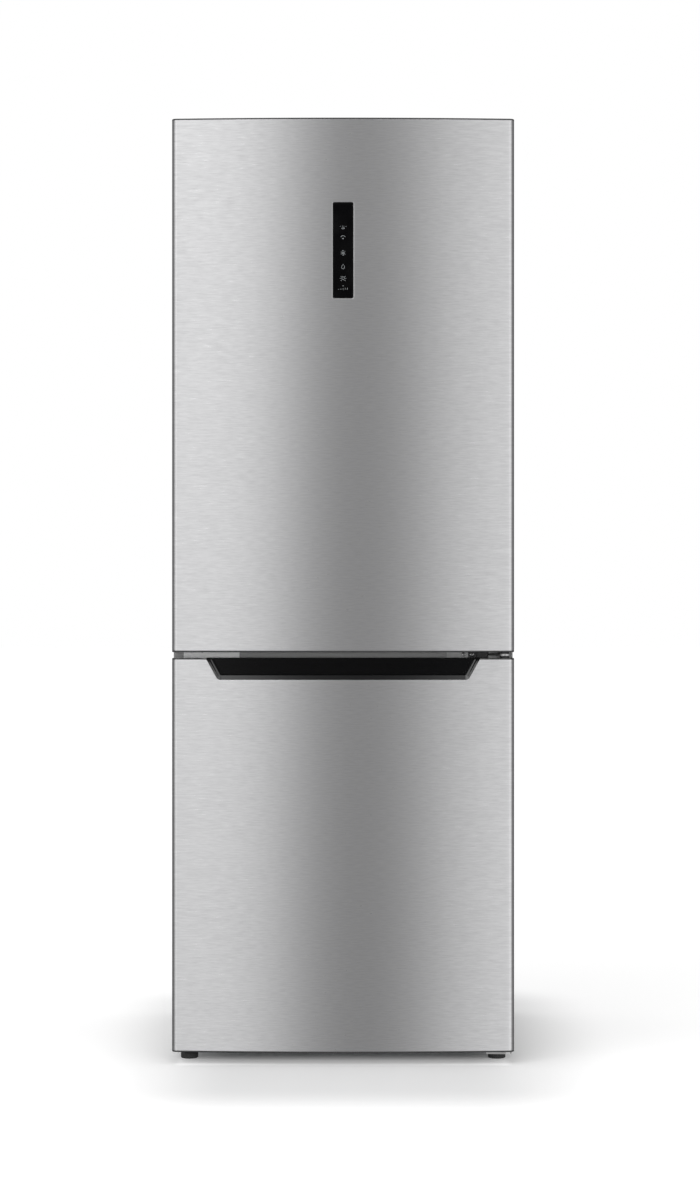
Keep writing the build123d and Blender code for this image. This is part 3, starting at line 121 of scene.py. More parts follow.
@dataclass(frozen=True)
class Finish:
    """A surface finish whose colour, gloss and relief follow one fine pattern.

    The pattern lies on Object coordinates. Its size is in millimetres, one for all ways or along x, y and z.
    """

    title: str
    colour: str
    shade: str
    size_mm: float | Triple
    rough: Pair = (0.4, 0.5)
    pattern: Pattern = Pattern.CLOUD
    relief_mm: float = 0.0
    metallic: float = 0.0
    ior: float = 1.5
    clear: float = 0.0
    coat: float = 0.0
    glow: float = 0.0

    def material(self) -> Material:
        """Build the node tree of the finish.

        Returns:
            The material, named for what the surface is.
        """
        made = bpy.data.materials.new(self.title)
        tree = bare_tree(made)
        value = self.pattern_value(tree)
        ends = {"Factor": value, "A": linear(self.colour), "B": linear(self.shade)}
        colour = add_node(tree, "Mix", ends, "Result", data_type="RGBA")
        gloss = add_node(tree, "MapRange", {"Value": value, "To Min": self.rough[0], "To Max": self.rough[1]})
        surface = add_node(
            tree,
            "BsdfPrincipled",
            {
                "Base Color": colour,
                "Roughness": gloss,
                "Metallic": self.metallic,
                "IOR": self.ior,
                "Transmission Weight": self.clear,
                "Coat Weight": self.coat,
                "Coat Roughness": COAT_ROUGHNESS,
            },
        )
        shader = surface.node
        if self.relief_mm:
            height = {"Height": value, "Strength": 1.0, "Distance": self.relief_mm * MM}
            tree.links.new(add_node(tree, "Bump", height), shader.inputs["Normal"])
        if self.glow:
            shader.inputs["Emission Color"].default_value = linear(self.colour)
            shader.inputs["Emission Strength"].default_value = self.glow
        self.extra(tree, shader)
        add_node(tree, "OutputMaterial", {"Surface": surface})
        return made

    def pattern_value(self, tree: NodeTree) -> NodeSocket:
        """Lay the fine pattern on Object coordinates.

        Args:
            tree: Node tree of the finish.

        Returns:
            Socket with the pattern's value, about 0 to 1.
        """
        place = add_node(tree, "TexCoord", out="Object")
        scale = (1 / (np.broadcast_to(self.size_mm, 3) * MM)).tolist()
        laid = add_node(tree, "Mapping", {"Vector": place, "Scale": scale})
        if self.pattern is Pattern.CELL:
            cells = add_node(tree, "TexVoronoi", {"Vector": laid, "Scale": 1.0}, "Color")
            return add_node(tree, "SeparateColor", {"Color": cells})
        if self.pattern is Pattern.TRACK:
            return add_node(tree, "TexWave", {"Vector": laid, "Scale": 0.5, "Distortion": 1.2}, 1)
        grain = {"Vector": laid, "Scale": 1.0, "Detail": 3.0, "Roughness": 0.6}
        spread = {"Value": add_node(tree, "TexNoise", grain), "From Min": 0.25, "From Max": 0.75}
        return add_node(tree, "MapRange", spread, clamp=False)

    def extra(self, tree: NodeTree, shader: Node) -> None:
        """Add nothing more: a finish with more to it overrides this."""


@dataclass(frozen=True)
class BrushedSheet(Finish):
    """Sheet metal brushed one way, so its highlights stretch across the brushing."""

    stretch: float = 1.0

    def extra(self, tree: NodeTree, shader: Node) -> None:
        """Stretch the highlight along the first axis of the brushing map.

        Args:
            tree: Node tree of the finish.
            shader: Its shader node.
        """
        tangent = add_node(tree, "Tangent", direction_type="UV_MAP", uv_map="brushing")
        tree.links.new(tangent, shader.inputs["Tangent"])
        shader.inputs["Anisotropic"].default_value = self.stretch


# Each finish is keyed by the record's slot. The comments say what the real material gives the eye.
FINISHES: dict[str, Finish] = {
    # Stainless sheet ground with a belt: fine level lines, about 0.2 mm apart. They are drawn
    # 2.2 mm high and 22 mm long, because the true ones are finer than a pixel.
    "brushed_door_steel": BrushedSheet(
        "stainless_steel_brushed", "#dcdcdd", "#cbcbcc", (22, 22, 2.2), (0.27, 0.33), metallic=1.0
    ),
    # ABS end caps, moulded with a spark-eroded grain of about 0.8 mm.
    "door_cap_plastic": Finish("abs_grey_grained", "#3d3d3e", "#363637", 0.8, (0.38, 0.5), relief_mm=0.02),
    # Black ABS under a gloss lacquer, so its bezel shows streaks of light.
    "pocket_plastic": Finish("abs_black_lacquered", "#0b0b0c", "#09090a", 1.2, (0.08, 0.11), coat=1.0),
    # Float glass printed black on its back: deep, with finger smears about 30 mm across.
    "display_glass": Finish("glass_black_printed", "#050506", "#070708", 30, (0.05, 0.12), ior=1.52),
    # Black ABS behind the glass, matt, with a moulded grain of 1 mm.
    "display_case": Finish("abs_black_inner", "#151516", "#1c1c1d", 1, (0.5, 0.6)),
    # Glass-fibre laminate with green resist over rows of copper tracks 1.5 mm apart.
    "circuit_board": Finish("laminate_green_resist", "#1f5a38", "#3d8a58", 3, (0.3, 0.45), Pattern.TRACK),
    # Silver-grey stoved paint on steel, with an orange-peel ripple of about 2.5 mm.
    "cabinet_paint": Finish("paint_silver_grey", "#949494", "#8e8e8e", 2.5, (0.36, 0.46), relief_mm=0.012),
    # Hot-dip zinc, dulled by its passivation, with crystal spangles about 9 mm across.
    "galvanised_sheet": Finish(
        "steel_galvanised", "#d4d6d7", "#c7cacc", 9, (0.4, 0.5), Pattern.CELL, metallic=0.35
    ),
    # Rigid polyurethane foam, cream, with cells drawn 2 mm wide so that they show.
    "rigid_foam": Finish(
        "polyurethane_foam", "#e6d9a8", "#d2c38c", 2, (0.8, 0.95), Pattern.CELL, relief_mm=0.3
    ),
    # Vacuum-formed polystyrene, white and evenly glossy, a little thinner in clouds of about 60 mm.
    "white_liner": Finish("polystyrene_white", "#e4e5e5", "#dedfdf", 60, (0.3, 0.3)),
    # Soft extruded PVC, matt, with extrusion marks about 4 mm long.
    "grey_gasket": Finish("pvc_soft_grey", "#b4b6b7", "#a9abac", 4, (0.5, 0.62), relief_mm=0.02),
    # Toughened float glass with the faint green of its iron, and a roller wave of about 90 mm.
    "shelf_glass": Finish(
        "glass_toughened_clear", "#f2faf6", "#eef8f2", 90, (0.0, 0.02), ior=1.52, clear=0.94
    ),
    # Satin silver ABS with a fine moulded grain of 0.9 mm.
    "shelf_trim": Finish("abs_satin_silver", "#c9cbcd", "#c0c2c4", 0.9, (0.3, 0.4), relief_mm=0.01),
    # Injection-moulded clear polystyrene with flow marks about 60 mm long.
    "clear_plastic": Finish(
        "polystyrene_clear", "#fafcfd", "#f5f9fa", (60, 60, 25), (0.03, 0.08), ior=1.45, clear=0.82
    ),
    # Opal acrylic lit from behind, slightly uneven over 25 mm.
    "lamp_diffuser": Finish("acrylic_opal_lit", "#fbfaf4", "#f4f3ec", 25, (0.3, 0.4), glow=1.0),
    # Pressed steel with bright zinc plating, rolled marks about 12 mm long.
    "hinge_steel": Finish("steel_zinc_plated", "#c2c2c2", "#adadad", (12, 3, 3), (0.28, 0.42), metallic=1.0),
    # Charcoal ABS with a spark-eroded grain of 0.9 mm.
    "hinge_cover_plastic": Finish(
        "abs_charcoal_grained", "#3a3b3d", "#333436", 0.9, (0.42, 0.54), relief_mm=0.02
    ),
    # Light grey ABS, satin, with a moulded grain of 0.9 mm.
    "blank_plate_plastic": Finish("abs_light_grey", "#f4f4f4", "#eeeeee", 0.9, (0.36, 0.46), relief_mm=0.015),
    # Bright zinc on a pressed screw head, clouded over 1.5 mm.
    "screw_zinc": Finish("steel_screw_bright_zinc", "#d6d6d6", "#bababa", 1.5, (0.2, 0.32), metallic=1.0),
    # Black nylon, moulded and scuffed in patches of about 6 mm.
    "foot_plastic": Finish("nylon_black", "#323233", "#424243", 6, (0.45, 0.6), relief_mm=0.03),
    # Thick dipped enamel, so it has a soft gloss and a ripple of 3 mm.
    "compressor_paint": Finish(
        "enamel_black", "#161617", "#1d1d1e", 3, (0.25, 0.36), relief_mm=0.02, coat=0.3
    ),
    # Moulded rubber, matt, with a bloom in patches of 2 mm, as on the gland below.
    "mount_rubber": Finish("rubber_black", "#1b1b1b", "#232322", 2, (0.7, 0.85), relief_mm=0.04),
    # Dipped enamel on steel tube, uneven over 4 mm.
    "tube_paint": Finish("enamel_tube_black", "#1c1c1d", "#262627", 4, (0.3, 0.45)),
    # Drawn copper, with brown tarnish in clouds of about 18 mm.
    "copper_pipe": Finish("copper_drawn", "#d9905f", "#a8663f", 18, (0.24, 0.42), metallic=1.0),
    # Moulded polypropylene, waxy and a little cloudy over 1 to 2 mm: a grey tray and a white fan.
    "tray_plastic": Finish("polypropylene_grey", "#8d9092", "#84878a", 1, (0.45, 0.55)),
    "fan_plastic": Finish("polypropylene_white", "#e4e6e6", "#dadcdc", 2, (0.36, 0.46)),
    # Rolled aluminium, bright, with rolling marks 10 mm long and 2 mm apart.
    "fin_aluminium": Finish(
        "aluminium_rolled", "#d4d6d8", "#c2c5c8", (10, 2, 10), (0.26, 0.38), metallic=1.0
    ),
    # Sprayed enamel with a ripple of 3 mm.
    "motor_paint": Finish("enamel_grey", "#8b8e91", "#7d8083", 3, (0.35, 0.45)),
    "gland_rubber": Finish("rubber_gland_black", "#1c1c1c", "#242423", 2, (0.65, 0.8)),
    # Ceramic ink fired into the glass, thin and a little patchy over 3 mm.
    "printed_ink": Finish("ink_grey", "#a3a6a8", "#7f8385", 3),
}


@cache
def material_of(slot: str) -> Material:
    """Make the material of a slot the first time that it is asked for."""
    return FINISHES[slot].material()


def dress_nodes() -> None:
    """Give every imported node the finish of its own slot."""
    for name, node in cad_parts.items():
        slot = node.data.materials[0].name
        node.material_slots[0].material = material_of(slot)
        LOG.info("node %s wears %s", name, FINISHES[slot].title)


@dataclass
class Patchwork:
    """Grids and flat faces that are sewn into one mesh."""

    points: list[Array] = field(default_factory=list)
    faces: list[list[int]] = field(default_factory=list)
    count: int = 0

    def add_grid(
        self, grid: Array, wrap: tuple[bool, bool] = (False, False), keep: Array | None = None
    ) -> None:
        """Add quads over a grid of points.

        Vertex (i, j) has number i * columns + j. Each quad runs (i, j), (i, j+1), (i+1, j+1), (i+1, j), so
        its front is where the column step crossed with the row step points.

        Args:
            grid: Array of rows by columns by 3.
            wrap: Whether the rows and the columns close on themselves.
            keep: Mask of the quads that are kept.
        """
        rows, columns = grid.shape[:2]
        index = np.arange(rows * columns).reshape(rows, columns)
        if wrap[0]:
            index = np.vstack([index, index[:1]])
        if wrap[1]:
            index = np.hstack([index, index[:, :1]])
        quads = np.stack([index[:-1, :-1], index[:-1, 1:], index[1:, 1:], index[1:, :-1]], axis=-1)
        chosen = quads.reshape(-1, 4) if keep is None else quads[keep]
        self.faces.extend((chosen + self.count).tolist())
        self.points.append(grid.reshape(-1, 3))
        self.count += rows * columns

    def add_tube(self, grid: Array) -> None:
        """Add a grid whose columns close on themselves, and a flat face over its first and last rows.

        Args:
            grid: Array of rows by columns by 3.
        """
        self.add_grid(grid, wrap=(False, True))
        for loop in (grid[0], grid[-1]):
            self.faces.append(list(range(self.count, self.count + len(loop))))
            self.points.append(loop)
            self.count += len(loop)

    def make(self, name: str, closed: bool = True, crease: float = 32.0) -> Object:
        """Sew the patches into an object at the origin.

        Args:
            name: Name of the piece.
            closed: Whether the surface is a closed shell, whose faces are then turned outwards.
            crease: Angle in degrees past which an edge stays sharp.

        Returns:
            The new object, linked to the scene.
        """
        mesh = bpy.data.meshes.new(name)
        mesh.from_pydata(np.concatenate(self.points).tolist(), [], self.faces)
        sewn = bmesh.new()
        sewn.from_mesh(mesh)
        bmesh.ops.remove_doubles(sewn, verts=sewn.verts, dist=WELD)
        bmesh.ops.dissolve_degenerate(sewn, edges=sewn.edges, dist=SLIVER)
        loose = [vertex for vertex in sewn.verts if not vertex.link_faces]
        bmesh.ops.delete(sewn, geom=loose, context="VERTS")
        if closed:
            bmesh.ops.recalc_face_normals(sewn, faces=sewn.faces)
        sewn.to_mesh(mesh)
        sewn.free()
        mesh.shade_smooth()
        mesh.set_sharp_from_angle(angle=math.radians(crease))
        piece = bpy.data.objects.new(name, mesh)
        bpy.context.scene.collection.objects.link(piece)
        return piece


def thicken(piece: Object, thickness: float) -> Object:
    """Give an open sheet its thickness, inwards from the face that shows.

    Args:
        piece: The sheet.
        thickness: Its thickness.

    Returns:
        The same sheet.
    """
    wall = piece.modifiers.new("thickness", "SOLIDIFY")
    wall.thickness = thickness
    wall.offset = -1.0
    piece.modifiers.new("flat_faces", "WEIGHTED_NORMAL").keep_sharp = True
    return piece


def points(x: Array | float, y: Array | float, z: Array | float) -> Array:
    """Stack coordinates into points, each spread over the shape that the three have together."""
    return np.stack(np.broadcast_arrays(x, y, z), axis=-1)


def full_turn(steps: int) -> Array:
    """Angles of a full turn, without the one that closes it."""
    return np.linspace(0, 2 * np.pi, steps, endpoint=False)


def rounded_rectangle(half: Pair, radius: float, steps: int = 8) -> Array:
    """Closed outline of a rectangle with round corners.

    Each corner is a quarter circle about a point set in by the radius, and the straight sides join them.

    Args:
        half: Half width and half height.
        radius: Radius of the corners.
        steps: Points on each corner.

    Returns:
        Array of points by 2, anticlockwise from the right side.
    """
    turn = np.linspace(0, np.pi / 2, steps)[None, :] + np.arange(4)[:, None] * np.pi / 2
    sign_x = np.array([1, -1, -1, 1])[:, None]
    sign_z = np.array([1, 1, -1, -1])[:, None]
    x = sign_x * (half[0] - radius) + radius * np.cos(turn)
    z = sign_z * (half[1] - radius) + radius * np.sin(turn)
    return np.stack([x.ravel(), z.ravel()], axis=-1)


def rolled_edge(depth: float, width: float, steps: int = 6) -> tuple[Array, Array]:
    """Quarter ellipse by which a sheet turns in at its edge.

    Args:
        depth: How far the edge itself lies behind the face.
        width: How far from the edge the turn begins.
        steps: Points on the turn.

    Returns:
        Distances from the edge, from 0 up to the width, and the set-back at each.
    """
    turn = np.linspace(0, np.pi / 2, steps)
    return width * (1 - np.cos(turn)), depth * (1 - np.sin(turn))


@dataclass(kw_only=True)
class Fitting:
    """A new piece: the body that carries it, its slot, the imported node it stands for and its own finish.

    Lengths of a fitting are in metres, unless its field says otherwise.
    """

    body: str
    slot: str
    node: str = ""
    finish: str = ""

    def build(self) -> Object:
        """Make the piece, which each kind of fitting does in its own way."""
        raise NotImplementedError

    def fit(self) -> Object:
        """Build the piece, dress it, let it ride on its body and hide the imported node it stands for.

        Returns:
            The fitted piece.
        """
        piece = self.build()
        piece.data.materials.append(material_of(self.finish or self.slot))
        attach(piece, self.body)
        if self.node:
            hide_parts(self.node)
        return piece


@dataclass(frozen=True)
class DoorPlan:
    """Plan that both doors share: a bowed front, two round front edges and straight sides, in metres."""

    half: float = 0.350
    crown: float = -0.3525
    edge: float = -0.3385
    corner: float = 0.011
    corner_steps: int = 12
    # Depths on the straight sides, from the back to the front.
    side_ys: tuple[float, ...] = (-0.2845, -0.300, -0.326)

    def radius(self) -> float:
        """Radius of the bow, from its half chord and its rise."""
        rise = self.edge - self.crown
        return (self.half**2 + rise**2) / (2 * rise)

    def turn_centre(self) -> Pair:
        """Centre of the right front edge's round, which touches the bow and the side from inside.

        Returns:
            Its place across and its depth.
        """
        x = self.half - self.corner
        run = self.radius() - self.corner
        return x, self.crown + self.radius() - math.sqrt(run**2 - x**2)

    def bow_half(self) -> float:
        """Half width of the bowed part, up to where the round edge begins."""
        return self.turn_centre()[0] * self.radius() / (self.radius() - self.corner)

    def front_y(self, x: Array) -> Array:
        """Depth of the bowed front at x, on a circle whose foremost point is the crown."""
        return self.crown + self.radius() - np.sqrt(self.radius() ** 2 - x**2)

    def path(self, xs: Array) -> tuple[Array, Array]:
        """Walk round the door from its left back edge to its right back edge.

        The normal's turn from straight ahead is 90 degrees on a side, runs down round the edge, and is the
        arc sine of x over the bow's radius on the front. The left half mirrors the right.

        Args:
            xs: Places across the bowed front, from left to right.

        Returns:
            Points and outward normals, each an array of points by 2.
        """
        centre_x, centre_y = self.turn_centre()
        meet = math.asin(self.bow_half() / self.radius())
        turn = np.linspace(meet, np.pi / 2, self.corner_steps)[1:]
        right_x = np.append(centre_x + self.corner * np.sin(turn), np.full(len(self.side_ys), self.half))
        right_y = np.append(centre_y - self.corner * np.cos(turn), self.side_ys[::-1])
        right = np.stack([right_x, right_y], axis=-1)
        right_turn = np.append(turn, np.full(len(self.side_ys), np.pi / 2))
        left = right[::-1] * np.array([-1, 1])
        front = np.stack([xs, self.front_y(xs)], axis=-1)
        angle = np.concatenate([-right_turn[::-1], np.arcsin(xs / self.radius()), right_turn])
        normal = np.stack([np.sin(angle), -np.cos(angle)], axis=-1)
        return np.concatenate([left, front, right]), normal

    def lay_brushing(self, mesh: Mesh) -> None:
        """Give a sheet its brushing map: height first, then the way round the door.

        The way round is x on the front, and goes on from there by the depth behind the front's edge.

        Args:
            mesh: The sheet's mesh, which gets the map.
        """
        flat = np.empty(len(mesh.vertices) * 3)
        mesh.vertices.foreach_get("co", flat)
        x, y, z = flat.reshape(-1, 3).T
        corner = np.empty(len(mesh.loops), dtype=int)
        mesh.loops.foreach_get("vertex_index", corner)
        way = x + np.sign(x) * np.clip(y - self.edge, 0, None)
        chart = np.stack([z, way], axis=-1)[corner]
        mesh.uv_layers.new(name="brushing").uv.foreach_set("vector", chart.ravel())


@dataclass(kw_only=True)
class DoorSheet(Fitting):
    """What the stainless sheets of the two doors share."""

    slot: str = "brushed_door_steel"
    plan: DoorPlan = DoorPlan()
    low: float
    high: float
    # Depth and width of the turn at the edges, and the height above the lower one where even rows begin.
    roll: Pair = (0.0003, 0.0012)
    rows_from: float = 0.02
    gauge: float = 0.0007

    def carry(self, way: Array, normal: Array, heights: Array) -> Array:
        """Carry the plan up the door, moved in along its normals by the roll in the first and last rows.

        Args:
            way: Points of the plan.
            normal: Outward normals there.
            heights: Height of each row, or of each row at each point.

        Returns:
            Grid of rows by points.
        """
        _, back = rolled_edge(*self.roll)
        inset = np.concatenate([back, np.zeros(len(heights) - 2 * len(back)), back[::-1]])
        place = way[None] - normal[None] * inset[:, None, None]
        return points(place[..., 0], place[..., 1], heights)

    def finish_sheet(self, sheet: Patchwork) -> Object:
        """Sew the sheet, lay its brushing map and give it its gauge.

        Args:
            sheet: The sheet's patches.

        Returns:
            The sheet.
        """
        piece = sheet.make(self.body + "_sheet", closed=False)
        self.plan.lay_brushing(piece.data)
        return thicken(piece, self.gauge)


@dataclass(kw_only=True)
class UpperSheet(DoorSheet):
    """Stainless sheet of the upper door, with the display's window and the step behind its top."""

    body: str = "upper_door"
    node: str = "upper_door_skin"
    low: float = 0.844
    high: float = 1.928
    step_y: float = -0.326
    step_z: float = 1.897
    window_half: Pair = (0.0215, 0.098)
    window_z: float = 1.6605
    window_corner: float = 0.003
    # A ring this wide fills the rectangle left out round the window. Its rows stand at these shares of it.
    margin: float = 0.012
    ring_shares: tuple[float, ...] = (1.0, 0.6, 0.3)
    # Columns beside and across the window, and rows below, beside and above it.
    columns: tuple[int, int] = (42, 15)
    rows: tuple[int, int, int] = (24, 45, 8)

    def build(self) -> Object:
        """Carry the door's plan up the door, and sew a ring round the window.

        Quads inside the rectangle round the window and above the step behind the top are left out.

        Returns:
            The sheet.
        """
        wide, tall = np.array(self.window_half) + self.margin
        beside = np.linspace(wide, self.plan.bow_half(), self.columns[0])
        xs = np.unique(np.concatenate([-beside, np.linspace(-wide, wide, self.columns[1]), beside]))
        way, normal = self.plan.path(xs)
        near, _ = rolled_edge(*self.roll)
        sill, head = self.window_z - tall, self.window_z + tall
        heights = np.concatenate(
            [
                self.low + near,
                np.linspace(self.low + self.rows_from, sill, self.rows[0]),
                np.linspace(sill, head, self.rows[1])[1:],
                np.linspace(head, self.step_z, self.rows[2])[1:],
                self.high - near[::-1],
            ]
        )
        middle_x, middle_y = ((way[:-1] + way[1:]) / 2).T
        middle_z = (heights[:-1] + heights[1:]) / 2
        window = (np.abs(middle_x) < wide)[None] & (np.abs(middle_z - self.window_z) < tall)[:, None]
        cut = (middle_y > self.step_y)[None] & (middle_z > self.step_z)[:, None]
        sheet = Patchwork()
        sheet.add_grid(self.carry(way, normal, heights[:, None]), keep=~window & ~cut)
        sheet.add_grid(self.window_ring(xs[np.abs(xs) < wide + SLIVER], tall), wrap=(False, True))
        return self.finish_sheet(sheet)

    def window_ring(self, xs: Array, tall: float) -> Array:
        """Ring of sheet between the window and the rectangle left out round it.

        Each point of the rectangle is joined to the nearest point of the window's outline: it is held to the
        box inside the corner centres, and the rest of the way is cut to the corner radius. Near the outline
        the sheet rolls in.

        Args:
            xs: Places across the rectangle's top and bottom, from left to right.
            tall: Half height of the rectangle.

        Returns:
            Grid from the rectangle in to the window, round the window.
        """
        zs = np.linspace(-tall, tall, self.rows[1])
        lower = points(xs[:-1], -tall, 0.0)[:, :2]
        right = points(xs[-1], zs[:-1], 0.0)[:, :2]
        outer = np.concatenate([lower, right, -lower, -right])
        core = np.array(self.window_half) - self.window_corner
        held = np.clip(outer, -core, core)
        way = outer - held
        inner = held + self.window_corner * way / np.linalg.norm(way, axis=-1, keepdims=True)
        near, back = rolled_edge(*self.roll)
        span = np.linalg.norm(outer - inner, axis=-1, keepdims=True)
        flat_rows = np.zeros(len(self.ring_shares))
        off = np.append(self.ring_shares, np.zeros(len(near)))[:, None, None]
        rise = np.append(flat_rows, near[::-1])[:, None, None]
        flat = inner[None] + (outer - inner)[None] * (off + rise / span[None])
        inset = np.append(flat_rows, back[::-1])[:, None]
        return points(flat[..., 0], self.plan.front_y(flat[..., 0]) + inset, flat[..., 1] + self.window_z)


@dataclass(kw_only=True)
class LowerSheet(DoorSheet):
    """Stainless sheet of the lower door, with the handle pocket cut into its top edge."""

    body: str = "lower_door"
    node: str = "lower_door_skin"
    low: float = 0.027
    high: float = 0.826
    notch_floor: float = 0.7845
    notch_low: float = 0.256
    notch_high: float = 0.279
    notch_corner: float = 0.011
    warp_from: float = 0.72
    # Fine columns reach this far inside and outside the climb, and two of them hold its upper corner.
    climb_reach: Pair = (0.012, 0.004)
    climb_corner: float = 1e-5
    # Columns between the climbs, on each climb and outside it, and rows below and above the warp.
    columns: tuple[int, int, int] = (61, 34, 9)
    rows: tuple[int, int] = (40, 8)

    def top_edge(self, xs: Array) -> Array:
        """Height of the sheet's top edge across the door.

        It is level on the pocket's floor, climbs along a quarter round and a slanted side, and is level again
        outside the pocket.

        Args:
            xs: Places across the door.

        Returns:
            Height at each place.
        """
        lean = math.atan2(self.high - self.notch_floor, self.notch_high - self.notch_low)
        cut = self.notch_corner * math.tan(lean / 2)
        start = self.notch_low - cut
        out = np.abs(xs)
        run = np.clip(out - start, 0, self.notch_corner * math.sin(lean))
        arc_z = self.notch_floor + self.notch_corner - np.sqrt(self.notch_corner**2 - run**2)
        slant = self.notch_floor + (out - self.notch_low) * math.tan(lean)
        edge = np.where(out < self.notch_low + cut * math.cos(lean), arc_z, slant)
        return np.minimum(edge, self.high)

    def build(self) -> Object:
        """Carry the door's plan up to the top edge.

        Below the warp height the rows are level. Above it each column is stretched to its own top edge, and
        the rows next to an edge roll in along the plan's normal.

        Returns:
            The sheet.
        """
        inner = self.notch_low - self.climb_reach[0]
        outer = self.notch_high + self.climb_reach[1]
        corner = [self.notch_high - self.climb_corner, self.notch_high]
        climb = np.append(np.linspace(inner, outer, self.columns[1]), corner)
        beyond = np.linspace(outer, self.plan.bow_half(), self.columns[2])
        between = np.linspace(-inner, inner, self.columns[0])
        xs = np.unique(np.concatenate([between, climb, -climb, beyond, -beyond]))
        way, normal = self.plan.path(xs)
        near, _ = rolled_edge(*self.roll)
        level = np.append(
            self.low + near, np.linspace(self.low + self.rows_from, self.warp_from, self.rows[0])
        )
        share = np.linspace(0, 1, self.rows[1])[1:-1, None]
        top = self.top_edge(way[:, 0])[None]
        stretched = self.warp_from + share * (top - near[-1] - self.warp_from)
        level_rows = np.repeat(level[:, None], len(way), axis=1)
        sheet = Patchwork()
        heights = np.concatenate([level_rows, stretched, top - near[::-1, None]])
        sheet.add_grid(self.carry(way, normal, heights))
        return self.finish_sheet(sheet)


def arc(centre: Pair, radius: float, start: float, end: float, steps: int = 14) -> Array:
    """Points on a circle's arc between two angles in degrees."""
    turn = np.radians(np.linspace(start, end, steps))
    return np.stack([centre[0] + radius * np.cos(turn), centre[1] + radius * np.sin(turn)], axis=-1)


def line(*ends: Pair) -> Array:
    """A stroke through the given points."""
    return np.array(ends, dtype=float)


class Icon(Enum):
    """Plain signs on the touch display."""

    FAN = "fan"
    SHADE = "shade"
    FLAKE = "flake"
    DROP = "drop"
    SUN = "sun"
    LEVEL = "level"


# Strokes of each sign in millimetres about its middle, before they are scaled.
STROKES: dict[Icon, list[Array]] = {
    Icon.FAN: [
        arc((0, 0.5), 2.6, 205, 335),
        arc((0, 0.5), 1.2, 200, 340, 9),
        line((-4.6, 1.2), (-3.6, 1.6)),
        line((4.6, 1.2), (3.6, 1.6)),
        line((-1.6, 2.2), (-0.6, 1.4)),
        line((1.6, 2.2), (0.6, 1.4)),
    ],
    Icon.SHADE: [
        arc((0, -1.2), 4.0, 35, 145),
        arc((0, -1.6), 1.1, 0, 180, 9),
        line((-1.1, -1.6), (1.1, -1.6)),
    ],
    Icon.FLAKE: [
        *(arc((0, 0), 3.6, turn + 180, turn, 2) for turn in (30, 90, 150)),
        line((-1.2, 3.4), (0, 2.3), (1.2, 3.4)),
        line((-1.2, -3.4), (0, -2.3), (1.2, -3.4)),
    ],
    Icon.DROP: [
        np.concatenate([arc((0, -0.8), 2.2, 150, 390), line((0, 3.6)), arc((0, -0.8), 2.2, 150, 160, 2)])
    ],
    Icon.SUN: [
        arc((0, 0.4), 1.9, 0, 360, 20),
        *(arc((0, 0), 1.0, a, a, 1) * np.array([[3.0], [4.6]]) for a in (0, 45, 135, 180, 225, 315)),
    ],
    Icon.LEVEL: [
        *(line((3.0 * n - 6.0, -2.0), (3.0 * n - 6.0, 0.5 * n - 1.0)) for n in range(5)),
        arc((0, 2.4), 1.1, 20, 160, 7),
    ],
}


@dataclass(kw_only=True)
class DisplayGlass(Fitting):
    """Black glass of the touch display, with a ground edge."""

    body: str = "upper_door"
    slot: str = "display_glass"
    node: str = "display_panel"
    half: Pair = (0.021, 0.0975)
    middle_z: float = 1.6605
    corner: float = 0.0025
    front: float = -0.3521
    back: float = -0.3491
    edge: float = 0.0006
    edge_steps: int = 5

    def build(self) -> Object:
        """Stack the rounded outline from back to front, drawn in by a quarter round at the front edge.

        Returns:
            The glass, closed at both ends.
        """
        near, in_by = rolled_edge(self.edge, self.edge, self.edge_steps)
        depths = np.concatenate([[self.back], self.front + near[::-1], [self.front]])[:, None]
        insets = np.concatenate([[0.0], in_by[::-1], [2 * self.edge]])
        outline = np.array(
            [rounded_rectangle((self.half[0] - by, self.half[1] - by), self.corner - by) for by in insets]
        )
        glass = Patchwork()
        glass.add_tube(points(outline[..., 0], depths, outline[..., 1] + self.middle_z))
        return glass.make("display_glass")


@dataclass(kw_only=True)
class DisplaySigns(Fitting):
    """Signs printed on the display's glass."""

    body: str = "upper_door"
    slot: str = "display_glass"
    finish: str = "printed_ink"
    front: float = -0.3521
    stroke: float = 0.0009
    scale: float = 1.45
    ink: float = 0.00004
    heights: tuple[tuple[Icon, float], ...] = (
        (Icon.FAN, 1.707),
        (Icon.SHADE, 1.686),
        (Icon.FLAKE, 1.655),
        (Icon.DROP, 1.627),
        (Icon.SUN, 1.603),
        (Icon.LEVEL, 1.583),
    )

    def build(self) -> Object:
        """Widen each stroke to a ribbon just in front of the glass.

        The ribbon's two sides lie half a stroke to the right and left of the line, square to its direction.

        Returns:
            All the signs as one piece.
        """
        signs = Patchwork()
        sides = np.array([-1, 1])[:, None, None]
        for icon, height in self.heights:
            for stroke in STROKES[icon]:
                way = np.gradient(stroke, axis=0)
                way /= np.linalg.norm(way, axis=-1, keepdims=True)
                aside = np.stack([-way[:, 1], way[:, 0]], axis=-1) * self.stroke / 2
                flat = stroke * self.scale * MM + sides * aside
                signs.add_grid(points(flat[..., 0], self.front - self.ink, flat[..., 1] + height))
        return thicken(signs.make("display_signs", closed=False), self.ink)


